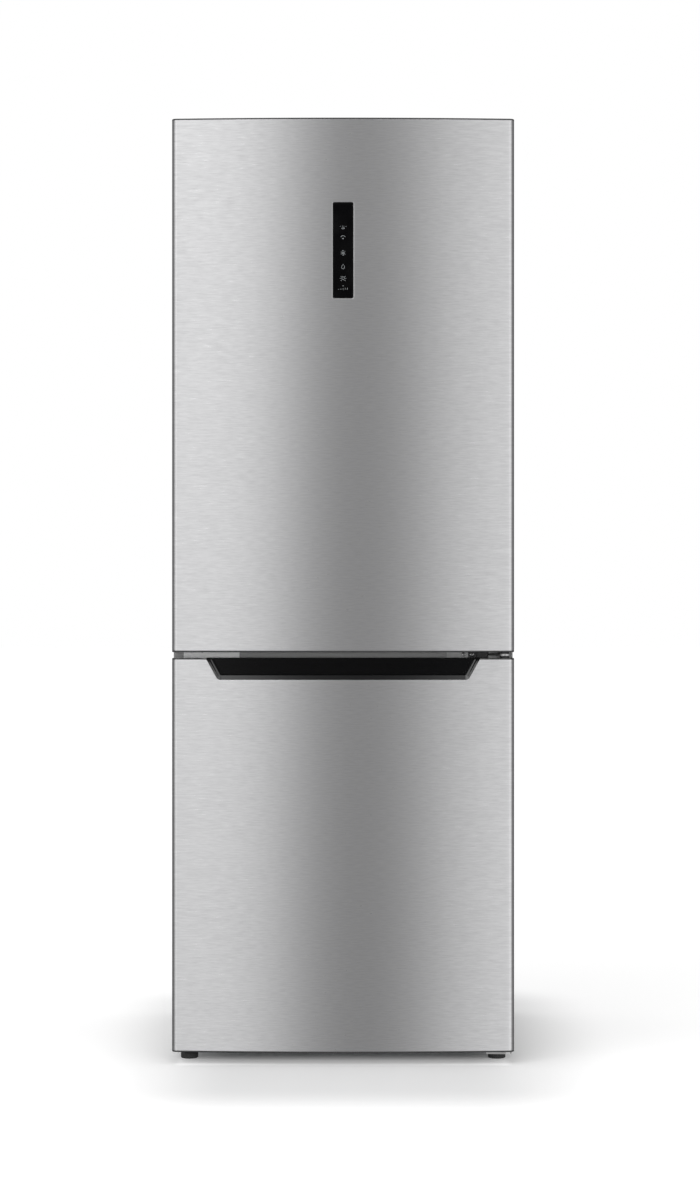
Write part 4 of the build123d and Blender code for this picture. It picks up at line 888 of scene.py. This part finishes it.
@dataclass(kw_only=True)
class DoorSeal(Fitting):
    """Magnetic seal round a cavity's mouth: a foot in the door, a bellows and a bulb on the cabinet."""

    slot: str = "grey_gasket"
    inner: float
    low: float
    high: float
    door_y: float = -0.2845
    beside: float = 0.004
    # Section, from the mouth outwards and from the door to the cabinet, in millimetres.
    outward: tuple[float, ...] = (0.6, 19.4, 19.4, 15.5, 15.5, 18.6, 19.0, 18.2, 6.0, 5.2, 5.6, 8.0, 8.0, 0.6)
    across: tuple[float, ...] = (0.0, 0.0, 1.3, 1.8, 2.6, 3.4, 6.4, 8.0, 8.0, 6.4, 3.6, 2.6, 1.8, 1.3)

    def build(self) -> Object:
        """Carry the section round the mouth with mitred corners.

        At each corner the section's outward distance is laid off along both sides at once, which is the
        mitre. A section on each side of a corner keeps it crisp. A place is x, z and the way out in x and z.

        Returns:
            The seal, closed round the mouth.
        """
        out = np.array(self.outward) * MM
        half, low, high, by = self.inner, self.low, self.high, self.beside
        right = [(half, low, 1, -1), (half, low + by, 1, 0), (half, high - by, 1, 0), (half, high, 1, 1)]
        left = [(-x, z, -way_x, way_z) for x, z, way_x, way_z in right[::-1]]
        top = [(half - by, high, 0, 1), (by - half, high, 0, 1)]
        bottom = [(by - half, low, 0, -1), (half - by, low, 0, -1)]
        x, z, way_x, way_z = np.array(right + top + left + bottom).T[..., None]
        seal = Patchwork()
        grid = points(x + way_x * out, self.door_y + np.array(self.across) * MM, z + way_z * out)
        seal.add_grid(grid, wrap=(True, True))
        return seal.make(self.body + "_seal", crease=50.0)


@dataclass(kw_only=True)
class CrossScrews(Fitting):
    """Low round screw heads with a cross recess."""

    body: str = "cabinet"
    slot: str = "screw_zinc"
    node: str = "hinge_screws"
    radius: float = 0.0045
    height: float = 0.002
    # Share of the height that is left at the rim.
    rim: float = 0.35
    recess: float = 0.0011
    arm_half: float = 0.0006
    arm_reach: float = 0.0026
    # Shares of an arm's half width and reach over which the recess slopes.
    slopes: Pair = (0.4, 0.3)
    # Shares of the radius: the dome's last ring and how many it has, then the rings round the rim and foot.
    dome_rings: tuple[float, int] = (0.92, 13)
    rim_rings: tuple[float, ...] = (0.97, 1.0, 1.0, 0.0)
    turns: int = 48
    # Foot of each head and the way it faces.
    places: tuple[tuple[Triple, Triple], ...] = (
        ((0.228, -0.246, 1.907), (0, 0, 1)),
        ((0.2505, -0.246, 1.907), (0, 0, 1)),
        ((0.273, -0.246, 1.907), (0, 0, 1)),
        ((0.2485, -0.278, 0.835), (0, -1, 0)),
        ((0.266, -0.278, 0.835), (0, -1, 0)),
        ((-0.290667, -0.278, 0.843), (0, -1, 0)),
        ((0.302, -0.2465, 0.01695), (0, 0, -1)),
        ((0.334, -0.2465, 0.01695), (0, 0, -1)),
    )

    def head(self) -> Array:
        """Surface of one head about its foot.

        Height falls from the middle to the rim as a flat ellipse. Where the smaller of the two distances from
        the cross's arms is inside an arm, the recess is taken off, with a short slope. The last two rings lie
        on the foot and close it.

        Returns:
            Grid of rings by turns of local points.
        """
        ring = np.append(np.linspace(0.0, *self.dome_rings), self.rim_rings)[:, None] * self.radius
        turn = full_turn(self.turns)[None]
        a = ring * np.cos(turn)
        b = ring * np.sin(turn)
        dome = np.sqrt(np.clip(1 - (ring / self.radius) ** 2, 0, 1))
        arm = np.minimum(np.abs(a), np.abs(b))
        inside = np.clip((self.arm_half - arm) / (self.slopes[0] * self.arm_half), 0, 1)
        inside = inside * np.clip((self.arm_reach - ring) / (self.slopes[1] * self.arm_reach), 0, 1)
        up = self.height * (self.rim + (1 - self.rim) * dome) - self.recess * inside
        up[-2:] = 0.0
        return points(a, b, up)

    def build(self) -> Object:
        """Set a head on each place, its height along the way it faces.

        Returns:
            All the heads as one piece.
        """
        a, b, up = np.moveaxis(self.head(), -1, 0)[..., None]
        side = np.array([1.0, 0.0, 0.0])
        heads = Patchwork()
        for foot, facing in self.places:
            grid = np.array(foot) + a * side + b * np.cross(facing, side) + up * np.array(facing)
            heads.add_grid(grid, wrap=(False, True))
        return heads.make("hinge_screw_heads")


@dataclass(kw_only=True)
class PocketTrim(Fitting):
    """Raised strip on each slanted end of the handle pocket's bezel, steep on the side of the pocket."""

    body: str = "lower_door"
    slot: str = "pocket_plastic"
    floor: float = 0.7845
    rim: float = 0.826
    half_floor: float = 0.256
    half_rim: float = 0.279
    mouth_y: float = -0.3429
    slope: float = 4 / 9
    # Distances in from the mouth's edge: where the strip begins, its crest, and the foot of its flank at its
    # low end and at the rim.
    start: float = 0.0003
    crest: float = 0.0043
    foot: Pair = (0.0052, 0.0070)
    sunk: float = 0.0008
    # Tilt of the strip's front in degrees, at its low end and at the rim.
    tilt: Pair = (17.0, 3.0)
    # Height of the low end above the floor, and its rise for each unit in from the mouth's edge.
    corner: float = 0.0062
    mitre: float = 0.35
    steps: int = 16

    def build(self) -> Object:
        """Carry a four-cornered section up each slanted end.

        Two corners lie on the bezel's slope, the crest between them lies as deep as the front's tilt takes
        it, and the fourth is sunk in the moulding. Each corner's line runs beside the mouth's edge, from a
        mitre to the rim.

        Returns:
            Both strips as one piece.
        """
        share = np.linspace(0, 1, self.steps)[:, None]
        lean = (self.half_rim - self.half_floor) / (self.rim - self.floor)
        across = np.array([self.start, self.crest, 0.0, self.crest / 2])[None] + np.zeros_like(share)
        across[:, 2] = self.foot[0] + (self.foot[1] - self.foot[0]) * share[:, 0]
        low = self.floor + self.corner + self.mitre * across
        up = low + (self.rim - low) * share
        out = self.half_floor + lean * (up - self.floor) - across * math.hypot(1, lean)
        deep = self.slope * across
        tilt = np.radians(self.tilt[0] + (self.tilt[1] - self.tilt[0]) * share[:, 0])
        deep[:, 1] = self.slope * self.start + np.tan(tilt) * (self.crest - self.start)
        deep[:, 3] += self.sunk
        strips = Patchwork()
        for side in (-1, 1):
            strips.add_tube(points(side * out, self.mouth_y + deep, up))
        return strips.make("pocket_end_trims")


@dataclass(kw_only=True)
class HingeBoot(Fitting):
    """Black moulded boot on the middle hinge's flange."""

    body: str = "cabinet"
    slot: str = "foot_plastic"
    left: float = 0.258
    right: float = 0.300
    low: float = 0.824
    high: float = 0.846
    face: float = -0.278
    thin: float = 0.0008
    thick: float = 0.0046
    swell_from: float = 0.272
    swell_over: float = 0.007
    edge: float = 0.0016
    lip: float = 0.0002
    # Even columns and rows begin this far inside the edges.
    inside: float = 0.003
    steps: tuple[int, int] = (40, 12)
    edge_steps: int = 7

    def build(self) -> Object:
        """Raise the boot from the flange as a height over x and z.

        The height is thin at the screw and grows by a smooth step to the thick end. Near an edge it falls
        along a quarter ellipse of the distance from that edge, down to a low lip.

        Returns:
            The boot, closed by its lip and by a flat back where it lies on the flange.
        """
        near, _ = rolled_edge(self.edge, self.edge, self.edge_steps)
        even_x = np.linspace(self.left + self.inside, self.right - self.inside, self.steps[0])
        even_z = np.linspace(self.low + self.inside, self.high - self.inside, self.steps[1])
        xs = np.concatenate([self.left + near, even_x, self.right - near[::-1]])
        zs = np.concatenate([self.low + near, even_z, self.high - near[::-1]])
        x, z = np.meshgrid(xs, zs)
        grow = np.clip((x - self.swell_from) / self.swell_over, 0, 1)
        swell = self.thin + (self.thick - self.thin) * grow**2 * (3 - 2 * grow)
        to_edge = np.min([x - self.left, self.right - x, z - self.low, self.high - z], axis=0)
        share = np.clip(to_edge / self.edge, 0, 1)
        rise = self.lip + (swell - self.lip) * np.sqrt(1 - (1 - share) ** 2)
        x, z, rise = np.pad(x, 1, "edge"), np.pad(z, 1, "edge"), np.pad(rise, 1)
        boot = Patchwork()
        boot.add_grid(points(x, self.face - rise, z))
        boot.add_grid(points(x, self.face, z))
        return boot.make("hinge_boot", crease=60.0)


@dataclass(kw_only=True)
class HingeCollars(Fitting):
    """A collar on the middle hinge's pin, above and below the hinge's arm."""

    body: str = "cabinet"
    slot: str = "foot_plastic"
    pin: Pair = (0.332, -0.3085)
    bore: float = 0.00806
    collar: float = 0.0092
    corner: float = 0.0003
    corner_steps: int = 4
    turns: int = 64
    spans: tuple[Pair, ...] = ((0.8292, 0.8328), (0.8372, 0.8408))

    def build(self) -> Object:
        """Turn a rounded rectangle about the pin for each collar.

        Returns:
            Both collars as one piece.
        """
        turn = full_turn(self.turns)[None]
        collars = Patchwork()
        for low, high in self.spans:
            half = ((self.collar - self.bore) / 2, (high - low) / 2)
            section = rounded_rectangle(half, self.corner, self.corner_steps)
            reach = (self.bore + self.collar) / 2 + section[:, :1]
            x = self.pin[0] + reach * np.cos(turn)
            y = self.pin[1] + reach * np.sin(turn)
            collars.add_grid(points(x, y, (low + high) / 2 + section[:, 1:]), wrap=(True, True))
        return collars.make("hinge_collars")


@dataclass(kw_only=True)
class LevellingFoot(Fitting):
    """Front foot: a fluted pad and a threaded stem."""

    slot: str = "foot_plastic"
    x: float
    y: float = -0.262
    # The pad's profile from its foot up, in millimetres, and how much of the flutes each ring has.
    pad_radius: tuple[float, ...] = (0.0, 15.0, 16.6, 17.6, 18.0, 18.0, 17.4, 16.2, 14.0, 5.2)
    pad_height: tuple[float, ...] = (0.0, 0.0, 0.3, 1.2, 2.4, 10.4, 12.2, 13.4, 14.0, 14.0)
    pad_fluted: tuple[float, ...] = (0, 0, 0, 0, 1, 1, 0.4, 0, 0, 0)
    flutes: int = 24
    flute_depth: float = 0.0009
    stem: float = 0.005
    stem_span: Pair = (0.014, 0.060)
    stem_rings: int = 90
    pitch: float = 0.002
    thread: float = 0.0005
    turns: int = 192

    def build(self) -> Object:
        """Turn the profile about the foot's axis.

        On the pad's side the radius dips by half the flute depth times one minus the cosine of the flutes'
        turn. On the stem it falls by a saw-tooth of the height plus the turn, which is a screw thread.

        Returns:
            The foot, closed at both ends.
        """
        turn = full_turn(self.turns)[None]
        radius, height, fluted = np.array([self.pad_radius, self.pad_height, self.pad_fluted])[..., None]
        pad_r = radius * MM - fluted * self.flute_depth * (1 - np.cos(self.flutes * turn)) / 2
        rise = np.linspace(*self.stem_span, self.stem_rings)[:, None]
        tooth = np.abs(((rise / self.pitch + turn / (2 * np.pi)) % 1.0) * 2 - 1)
        reach = np.concatenate([pad_r, self.stem - self.thread * tooth, np.zeros_like(turn)])
        up = np.concatenate([height * MM, rise, [[self.stem_span[1]]]])
        foot = Patchwork()
        foot.add_grid(
            points(self.x + reach * np.cos(turn), self.y + reach * np.sin(turn), up), wrap=(False, True)
        )
        return foot.make(self.node + "_fluted", crease=40.0)


@dataclass(kw_only=True)
class BackSheet(Fitting):
    """Galvanised back with shallow pressed beads across it."""

    body: str = "cabinet"
    slot: str = "galvanised_sheet"
    node: str = "back_panel"
    half: float = 0.350
    low: float = 0.240
    high: float = 1.903
    face: float = 0.3525
    gauge: float = 0.0008
    bead_half: float = 0.27
    bead_width: float = 0.006
    bead_depth: float = 0.0008
    beads: int = 10
    # Fine rows reach this share of a bead's width past its middle. Even columns lie within the half width.
    bead_reach: float = 1.1
    bead_steps: int = 17
    even_half: float = 0.24
    even_columns: int = 9

    def build(self) -> Object:
        """Press each bead into a flat sheet.

        The distance to a bead is the distance to the level line along its middle. Within the bead's width the
        sheet lies back by the depth times the squared cosine of that distance.

        Returns:
            The sheet.
        """
        pitch = (self.high - self.low) / self.beads
        middles = self.low + pitch * (np.arange(self.beads) + 0.5)
        about = np.linspace(-self.bead_reach, self.bead_reach, self.bead_steps) * self.bead_width
        zs = np.unique(np.append(middles[:, None] + about[None], [self.low, self.high]))
        ends = self.bead_half + about
        even = np.linspace(-self.even_half, self.even_half, self.even_columns)
        xs = np.unique(np.concatenate([ends, -ends, even, [-self.half, self.half]]))[::-1]
        x, z = np.meshgrid(xs, zs)
        nearest = self.low + pitch * (np.clip(np.floor((z - self.low) / pitch), 0, self.beads - 1) + 0.5)
        off = np.hypot(np.clip(np.abs(x) - self.bead_half, 0, None), z - nearest)
        dip = self.bead_depth * np.cos(np.clip(off / self.bead_width, 0, 1) * np.pi / 2) ** 2
        sheet = Patchwork()
        sheet.add_grid(points(x, self.face - dip, z))
        return thicken(sheet.make("back_sheet", closed=False), self.gauge)


@dataclass(kw_only=True)
class LouvreHoods(Fitting):
    """Hoods pressed inwards behind the slots of the rear cover."""

    body: str = "cabinet"
    slot: str = "galvanised_sheet"
    columns: int = 6
    rows: int = 5
    length: float = 0.070
    height: float = 0.006
    pitch: float = 0.020
    middle_z: float = 0.1565
    face: float = 0.3516
    depth: float = 0.008
    # How far a hood hangs down, in heights of its slot.
    drop: float = 1.4
    gauge: float = 0.0008
    steps: tuple[int, int] = (17, 5)

    def build(self) -> Object:
        """Lay a quarter-round hood behind each slot, flattened towards the slot's ends.

        Along the slot the hood's depth follows a half ellipse. Across it the hood runs from the slot's upper
        edge in and down, by the sine and cosine of a quarter turn.

        Returns:
            All the hoods as one piece.
        """
        share = np.linspace(-1, 1, self.steps[0])[None]
        turn = np.linspace(0, np.pi / 2, self.steps[1])[:, None]
        swell = np.sqrt(np.clip(1 - share**2, 0, 1))
        down = self.drop * self.height * swell * (1 - np.cos(turn))
        hood = points(
            self.length / 2 * share, self.face - self.depth * swell * np.sin(turn), self.height / 2 - down
        )
        hoods = Patchwork()
        column = (np.arange(self.columns) - (self.columns - 1) / 2) * (self.length + self.pitch)
        row = (np.arange(self.rows) - (self.rows - 1) / 2) * self.pitch + self.middle_z
        for x in column:
            for z in row:
                hoods.add_grid(hood + np.array([x, 0.0, z]))
        return thicken(hoods.make("louvre_hoods", closed=False), self.gauge)


@dataclass(kw_only=True)
class BinRail(Fitting):
    """Satin strip clipped round the front of a door bin's rim."""

    slot: str = "shelf_trim"
    top: float
    half: float = 0.2625
    back: float = -0.180
    corner: float = 0.012
    leg: float = 0.046
    tall: float = 0.016
    proud: float = 0.0012
    # Powers that flatten the oval section, outwards and upwards.
    flatten: Pair = (0.5, 0.35)
    bend_steps: int = 10
    turns: int = 20

    def build(self) -> Object:
        """Carry a rounded section round the bin's two front corners.

        The way runs up one side, round a quarter circle, across and back. The section is a flat oval whose
        outward part stands proud of the wall.

        Returns:
            The strip, closed at both ends.
        """
        turn = np.linspace(0, np.pi / 2, self.bend_steps)
        facing = np.stack([np.cos(turn), np.sin(turn)], axis=-1)
        bend = np.array([self.half - self.corner, self.back - self.corner]) + self.corner * facing
        right = np.concatenate([[[self.half, self.back - self.leg]], bend])
        out = np.concatenate([[[1.0, 0.0]], facing])
        mirror = np.array([-1, 1])
        way = np.concatenate([right, right[::-1] * mirror])[:, None]
        normal = np.concatenate([out, out[::-1] * mirror])[:, None]
        cosine, sine = np.cos(full_turn(self.turns)), np.sin(full_turn(self.turns))
        oval_out = self.proud * np.sign(cosine) * np.abs(cosine) ** self.flatten[0]
        oval_up = self.tall / 2 * np.sign(sine) * np.abs(sine) ** self.flatten[1]
        place = way + normal * oval_out[None, :, None]
        strip = Patchwork()
        strip.add_tube(points(place[..., 0], place[..., 1], self.top - self.tall / 2 + oval_up[None]))
        return strip.make(self.body + "_rail", crease=45.0)


@dataclass(frozen=True)
class Lamp:
    """Rectangular soft lamp: size in metres, power in watts, place, and turn in degrees."""

    name: str
    size: Pair
    watts: float
    place: Triple
    turn: Triple


@dataclass
class Studio:
    """Pale floor, soft light and the camera of the photograph."""

    camera_at: Triple = (0.0141, -5.9385, 0.968)
    focal_px: float = 2741.0
    frame_px: float = 1180.0
    sensor: float = 36.0
    # The first stands high on the left, for the shadow, and the second low in front, for the gap.
    lamps: tuple[Lamp, ...] = (
        Lamp("soft_lamp", (2.4, 2.4), 26.0, (-3.0, -2.6, 3.6), (48.0, 0.0, -49.0)),
        Lamp("front_lamp", (4.0, 0.3), 21.0, (0.0, -2.6, 0.84), (90.0, 0.0, 0.0)),
    )
    # Level of the surround that gloss reflects, by its bearing in degrees from straight ahead of the doors:
    # first behind and to the left, then ahead, then to the right and behind.
    bearings: tuple[Pair, ...] = (
        *((-180, 0.8), (-150, 0.22), (-125, 0.13), (-100, 0.2), (-75, 0.38), (-55, 0.8), (-42, 0.95)),
        *((-28, 1.33), (-16, 0.97), (-10.5, 1.11), (-6, 0.94), (-2, 0.53), (1.5, 0.41), (5, 0.43)),
        *((9, 0.8), (14, 1.0), (26, 1.36), (42, 0.95), (55, 0.8), (75, 0.38), (100, 0.2), (125, 0.13)),
        *((150, 0.22), (180, 0.8)),
    )
    # How much the surround gains for each unit of the way's height, and where to the right that fades out.
    height_gain: float = 1.0
    gain_fade: Pair = (0.04, 0.22)
    # Dark openings, where the camera stands and above it: half width, half height, elevation and depth.
    openings: tuple[tuple[float, float, float, float], ...] = (
        (0.13, 0.24, 2.0, 0.95),
        (0.045, 0.42, 48.0, 0.9),
    )
    opening_edge: float = 0.6
    soft_level: float = 0.7
    floor_half: float = 40.0
    # The floor's paint, and the darker shade in which matt surfaces get its light back.
    floor_paint: tuple[str, str] = ("#f0f0f0", "#9c9c9c")
    # Floor's own light, which paints the shadow round the base: middle and half size of the box where it is
    # painted dark, its reach past that, its level.
    painted_shadow_box: tuple[float, float, float, float] = (0.02, -0.085, 0.22, 0.535)
    floor_reach: float = 0.36
    floor_level: float = 0.38
    # Painted pool of light on the floor below the doors' front edge: it rises and falls over these depths.
    strip_rise: Pair = (-0.220, -0.318)
    strip_fall: Pair = (-0.340, -0.368)
    strip_half: Pair = (0.33, 0.35)
    strip_level: float = 0.23

    def build_world(self) -> None:
        """Surround that is white to the camera, even to matt surfaces, and a room with openings to gloss.

        The room's level follows the bearing, grows with the height, and falls towards the middle of each
        opening by a smooth step.
        """
        world = bpy.data.worlds.new("studio")
        bpy.context.scene.world = world
        tree = bare_tree(world)
        way = add_node(tree, "TexCoord", out="Generated")
        x, y, z = add_node(tree, "SeparateXYZ", {0: way}).node.outputs
        ahead = add_node(tree, "Math", {0: y, 1: -1.0}, operation="MULTIPLY")
        bearing = add_node(tree, "Math", {0: x, 1: ahead}, operation="ARCTAN2")
        share = add_node(tree, "MapRange", {"Value": bearing, "From Min": -math.pi, "From Max": math.pi})
        tint = add_node(tree, "ValToRGB", {0: share})
        peak = self.fill_ramp(tint.node.color_ramp)
        fade = {"Value": x, "From Min": self.gain_fade[0], "From Max": self.gain_fade[1]}
        gain = add_node(tree, "MapRange", {**fade, "To Min": self.height_gain * peak, "To Max": 0.0})
        level = add_node(tree, "Math", {0: z, 1: gain, 2: peak}, operation="MULTIPLY_ADD")
        for half_wide, half_tall, degrees, deep in self.openings:
            rise = math.radians(degrees)
            middle = (0.0, math.cos(rise), -math.sin(rise) / half_tall)
            grow = (1 / half_wide, 1.0, 1 / half_tall)
            laid = add_node(tree, "Mapping", {"Vector": way, "Location": middle, "Scale": grow})
            ball = add_node(tree, "TexGradient", {0: laid}, 1, gradient_type="SPHERICAL")
            ends = {"Value": ball, "From Max": self.opening_edge, "To Min": 1.0, "To Max": 1.0 - deep}
            dim = add_node(tree, "MapRange", ends, interpolation_type="SMOOTHSTEP")
            level = add_node(tree, "Math", {0: level, 1: dim}, operation="MULTIPLY")
        rays = add_node(tree, "LightPath").node.outputs
        straight = {0: rays["Is Camera Ray"], 1: rays["Is Transmission Ray"]}
        seen = add_node(tree, "Math", straight, operation="MAXIMUM")
        room = add_node(tree, "Background", {"Color": tint, "Strength": level})
        even = add_node(tree, "Background", {"Color": WHITE, "Strength": self.soft_level})
        plain = add_node(tree, "Background", {"Color": WHITE, "Strength": 1.0})
        soft = add_node(tree, "MixShader", {0: rays["Is Diffuse Ray"], 1: room, 2: even})
        both = add_node(tree, "MixShader", {0: seen, 1: soft, 2: plain})
        add_node(tree, "OutputWorld", {"Surface": both})

    def fill_ramp(self, ramp: ColorRamp) -> float:
        """Set a ramp's stops to the surround's levels, as shares of the highest.

        Args:
            ramp: The ramp, over a full turn of the bearing.

        Returns:
            The highest level.
        """
        ramp.interpolation = "EASE"
        peak = max(level for _, level in self.bearings)
        while len(ramp.elements) < len(self.bearings):
            ramp.elements.new(0.5)
        for stop, (degrees, level) in zip(ramp.elements, self.bearings):
            stop.position = (degrees + 180) / 360
            stop.color = (level / peak, level / peak, level / peak, 1.0)
        return peak

    def build_floor(self) -> None:
        """Flat white floor that keeps the object's shadow and is plain white away from it.

        To the camera the floor also has light of its own, which paints a soft shadow round the base and a
        pool of light below the doors. Gloss looks through the floor to the surround.
        """
        ends = np.array([-self.floor_half, self.floor_half])
        sheet = Patchwork()
        sheet.add_grid(points(ends[None], ends[:, None], 0.0))
        floor = sheet.make("studio_floor", closed=False)
        made = bpy.data.materials.new("floor_white_paint")
        tree = bare_tree(made)
        rays = add_node(tree, "LightPath").node.outputs
        shades = {"A": linear(self.floor_paint[0]), "B": linear(self.floor_paint[1])}
        tint = add_node(tree, "Mix", {"Factor": rays["Is Diffuse Ray"], **shades}, "Result", data_type="RGBA")
        shown = {0: self.painted_floor_light(tree), 1: rays["Is Camera Ray"]}
        strength = add_node(tree, "Math", shown, operation="MULTIPLY")
        own = add_node(tree, "Emission", {"Color": WHITE, "Strength": strength})
        lit = add_node(tree, "AddShader", {0: add_node(tree, "BsdfDiffuse", {"Color": tint}), 1: own})
        through = add_node(tree, "BsdfTransparent")
        both = add_node(tree, "MixShader", {0: rays["Is Glossy Ray"], 1: lit, 2: through})
        add_node(tree, "OutputMaterial", {"Surface": both})
        floor.data.materials.append(made)

    def painted_floor_light(self, tree: NodeTree) -> NodeSocket:
        """Painted light of the floor's own: a smooth step of the distance from the box of painted shadow, and
        the painted strip of light below the doors.

        Args:
            tree: Node tree of the floor.

        Returns:
            Socket with the light's strength.
        """
        place = add_node(tree, "TexCoord", out="Object")
        middle_x, middle_y, half_x, half_y = self.painted_shadow_box
        off = add_node(tree, "VectorMath", {0: place, 1: (middle_x, middle_y, 0)}, operation="SUBTRACT")
        size = add_node(tree, "VectorMath", {0: off}, operation="ABSOLUTE")
        past = add_node(tree, "VectorMath", {0: size, 1: (half_x, half_y, 0)}, operation="SUBTRACT")
        out = add_node(tree, "VectorMath", {0: past, 1: (0, 0, 0)}, operation="MAXIMUM")
        away = add_node(tree, "VectorMath", {0: out}, "Value", operation="LENGTH")
        x, y, _ = add_node(tree, "SeparateXYZ", {0: place}).node.outputs
        wide = add_node(tree, "Math", {0: x}, operation="ABSOLUTE")
        box, rise, fall, side = (
            add_node(
                tree,
                "MapRange",
                {"Value": value, "From Min": start, "From Max": end, "To Min": low, "To Max": high},
                interpolation_type="SMOOTHSTEP",
            )
            for value, (start, end), low, high in (
                (away, (0.0, self.floor_reach), 0.0, self.floor_level),
                (y, self.strip_rise, 0.0, self.strip_level),
                (y, self.strip_fall, 1.0, 0.0),
                (wide, self.strip_half, 1.0, 0.0),
            )
        )
        held = add_node(tree, "Math", {0: fall, 1: side}, operation="MULTIPLY")
        return add_node(tree, "Math", {0: rise, 1: held, 2: box}, operation="MULTIPLY_ADD")

    def build_lights(self) -> None:
        """Hang the lamps, which light the object and don't show in it."""
        for lamp in self.lamps:
            light = bpy.data.lights.new(lamp.name, "AREA")
            light.shape = "RECTANGLE"
            light.size, light.size_y = lamp.size
            light.energy = lamp.watts
            holder = bpy.data.objects.new(lamp.name, light)
            holder.location = lamp.place
            holder.rotation_euler = tuple(math.radians(angle) for angle in lamp.turn)
            holder.visible_camera = False
            holder.visible_glossy = False
            holder.visible_transmission = False
            bpy.context.scene.collection.objects.link(holder)

    def build_camera(self) -> None:
        """Camera level with the middle of the object, with the photograph's focal length."""
        eye = bpy.data.cameras.new("photo_camera")
        eye.sensor_fit = "VERTICAL"
        eye.sensor_height = self.sensor
        eye.lens = self.focal_px * self.sensor / self.frame_px
        holder = bpy.data.objects.new("photo_camera", eye)
        holder.location = self.camera_at
        holder.rotation_euler = (math.pi / 2, 0.0, 0.0)
        bpy.context.scene.collection.objects.link(holder)
        bpy.context.scene.camera = holder

    def build(self) -> None:
        """Set up the whole studio and the plain view transform."""
        self.build_world()
        self.build_floor()
        self.build_lights()
        self.build_camera()
        bpy.context.scene.view_settings.view_transform = "Standard"


def main() -> None:
    """Build the studio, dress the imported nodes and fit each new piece."""
    logging.basicConfig(level=logging.INFO, format="%(message)s")
    Studio().build()
    dress_nodes()
    for fitting in (
        UpperSheet(),
        LowerSheet(),
        DisplayGlass(),
        DisplaySigns(),
        DoorSeal(body="upper_door", node="upper_door_gasket", inner=0.302, low=0.872, high=1.855),
        DoorSeal(body="lower_door", node="lower_door_gasket", inner=0.287, low=0.088, high=0.798),
        CrossScrews(),
        PocketTrim(),
        HingeBoot(),
        HingeCollars(),
        LevellingFoot(body="left_foot", node="left_foot", x=-0.318),
        LevellingFoot(body="right_foot", node="right_foot", x=0.318),
        BackSheet(),
        LouvreHoods(),
        BinRail(body="bottle_bin", top=1.016),
        BinRail(body="door_bin_lower", top=1.241),
        BinRail(body="door_bin_middle", top=1.476),
        BinRail(body="door_bin_top", top=1.711),
    ):
        piece = fitting.fit()
        LOG.info("piece %s rides on %s, %d faces", piece.name, fitting.body, len(piece.data.polygons))


if __name__ == "__main__":
    main()
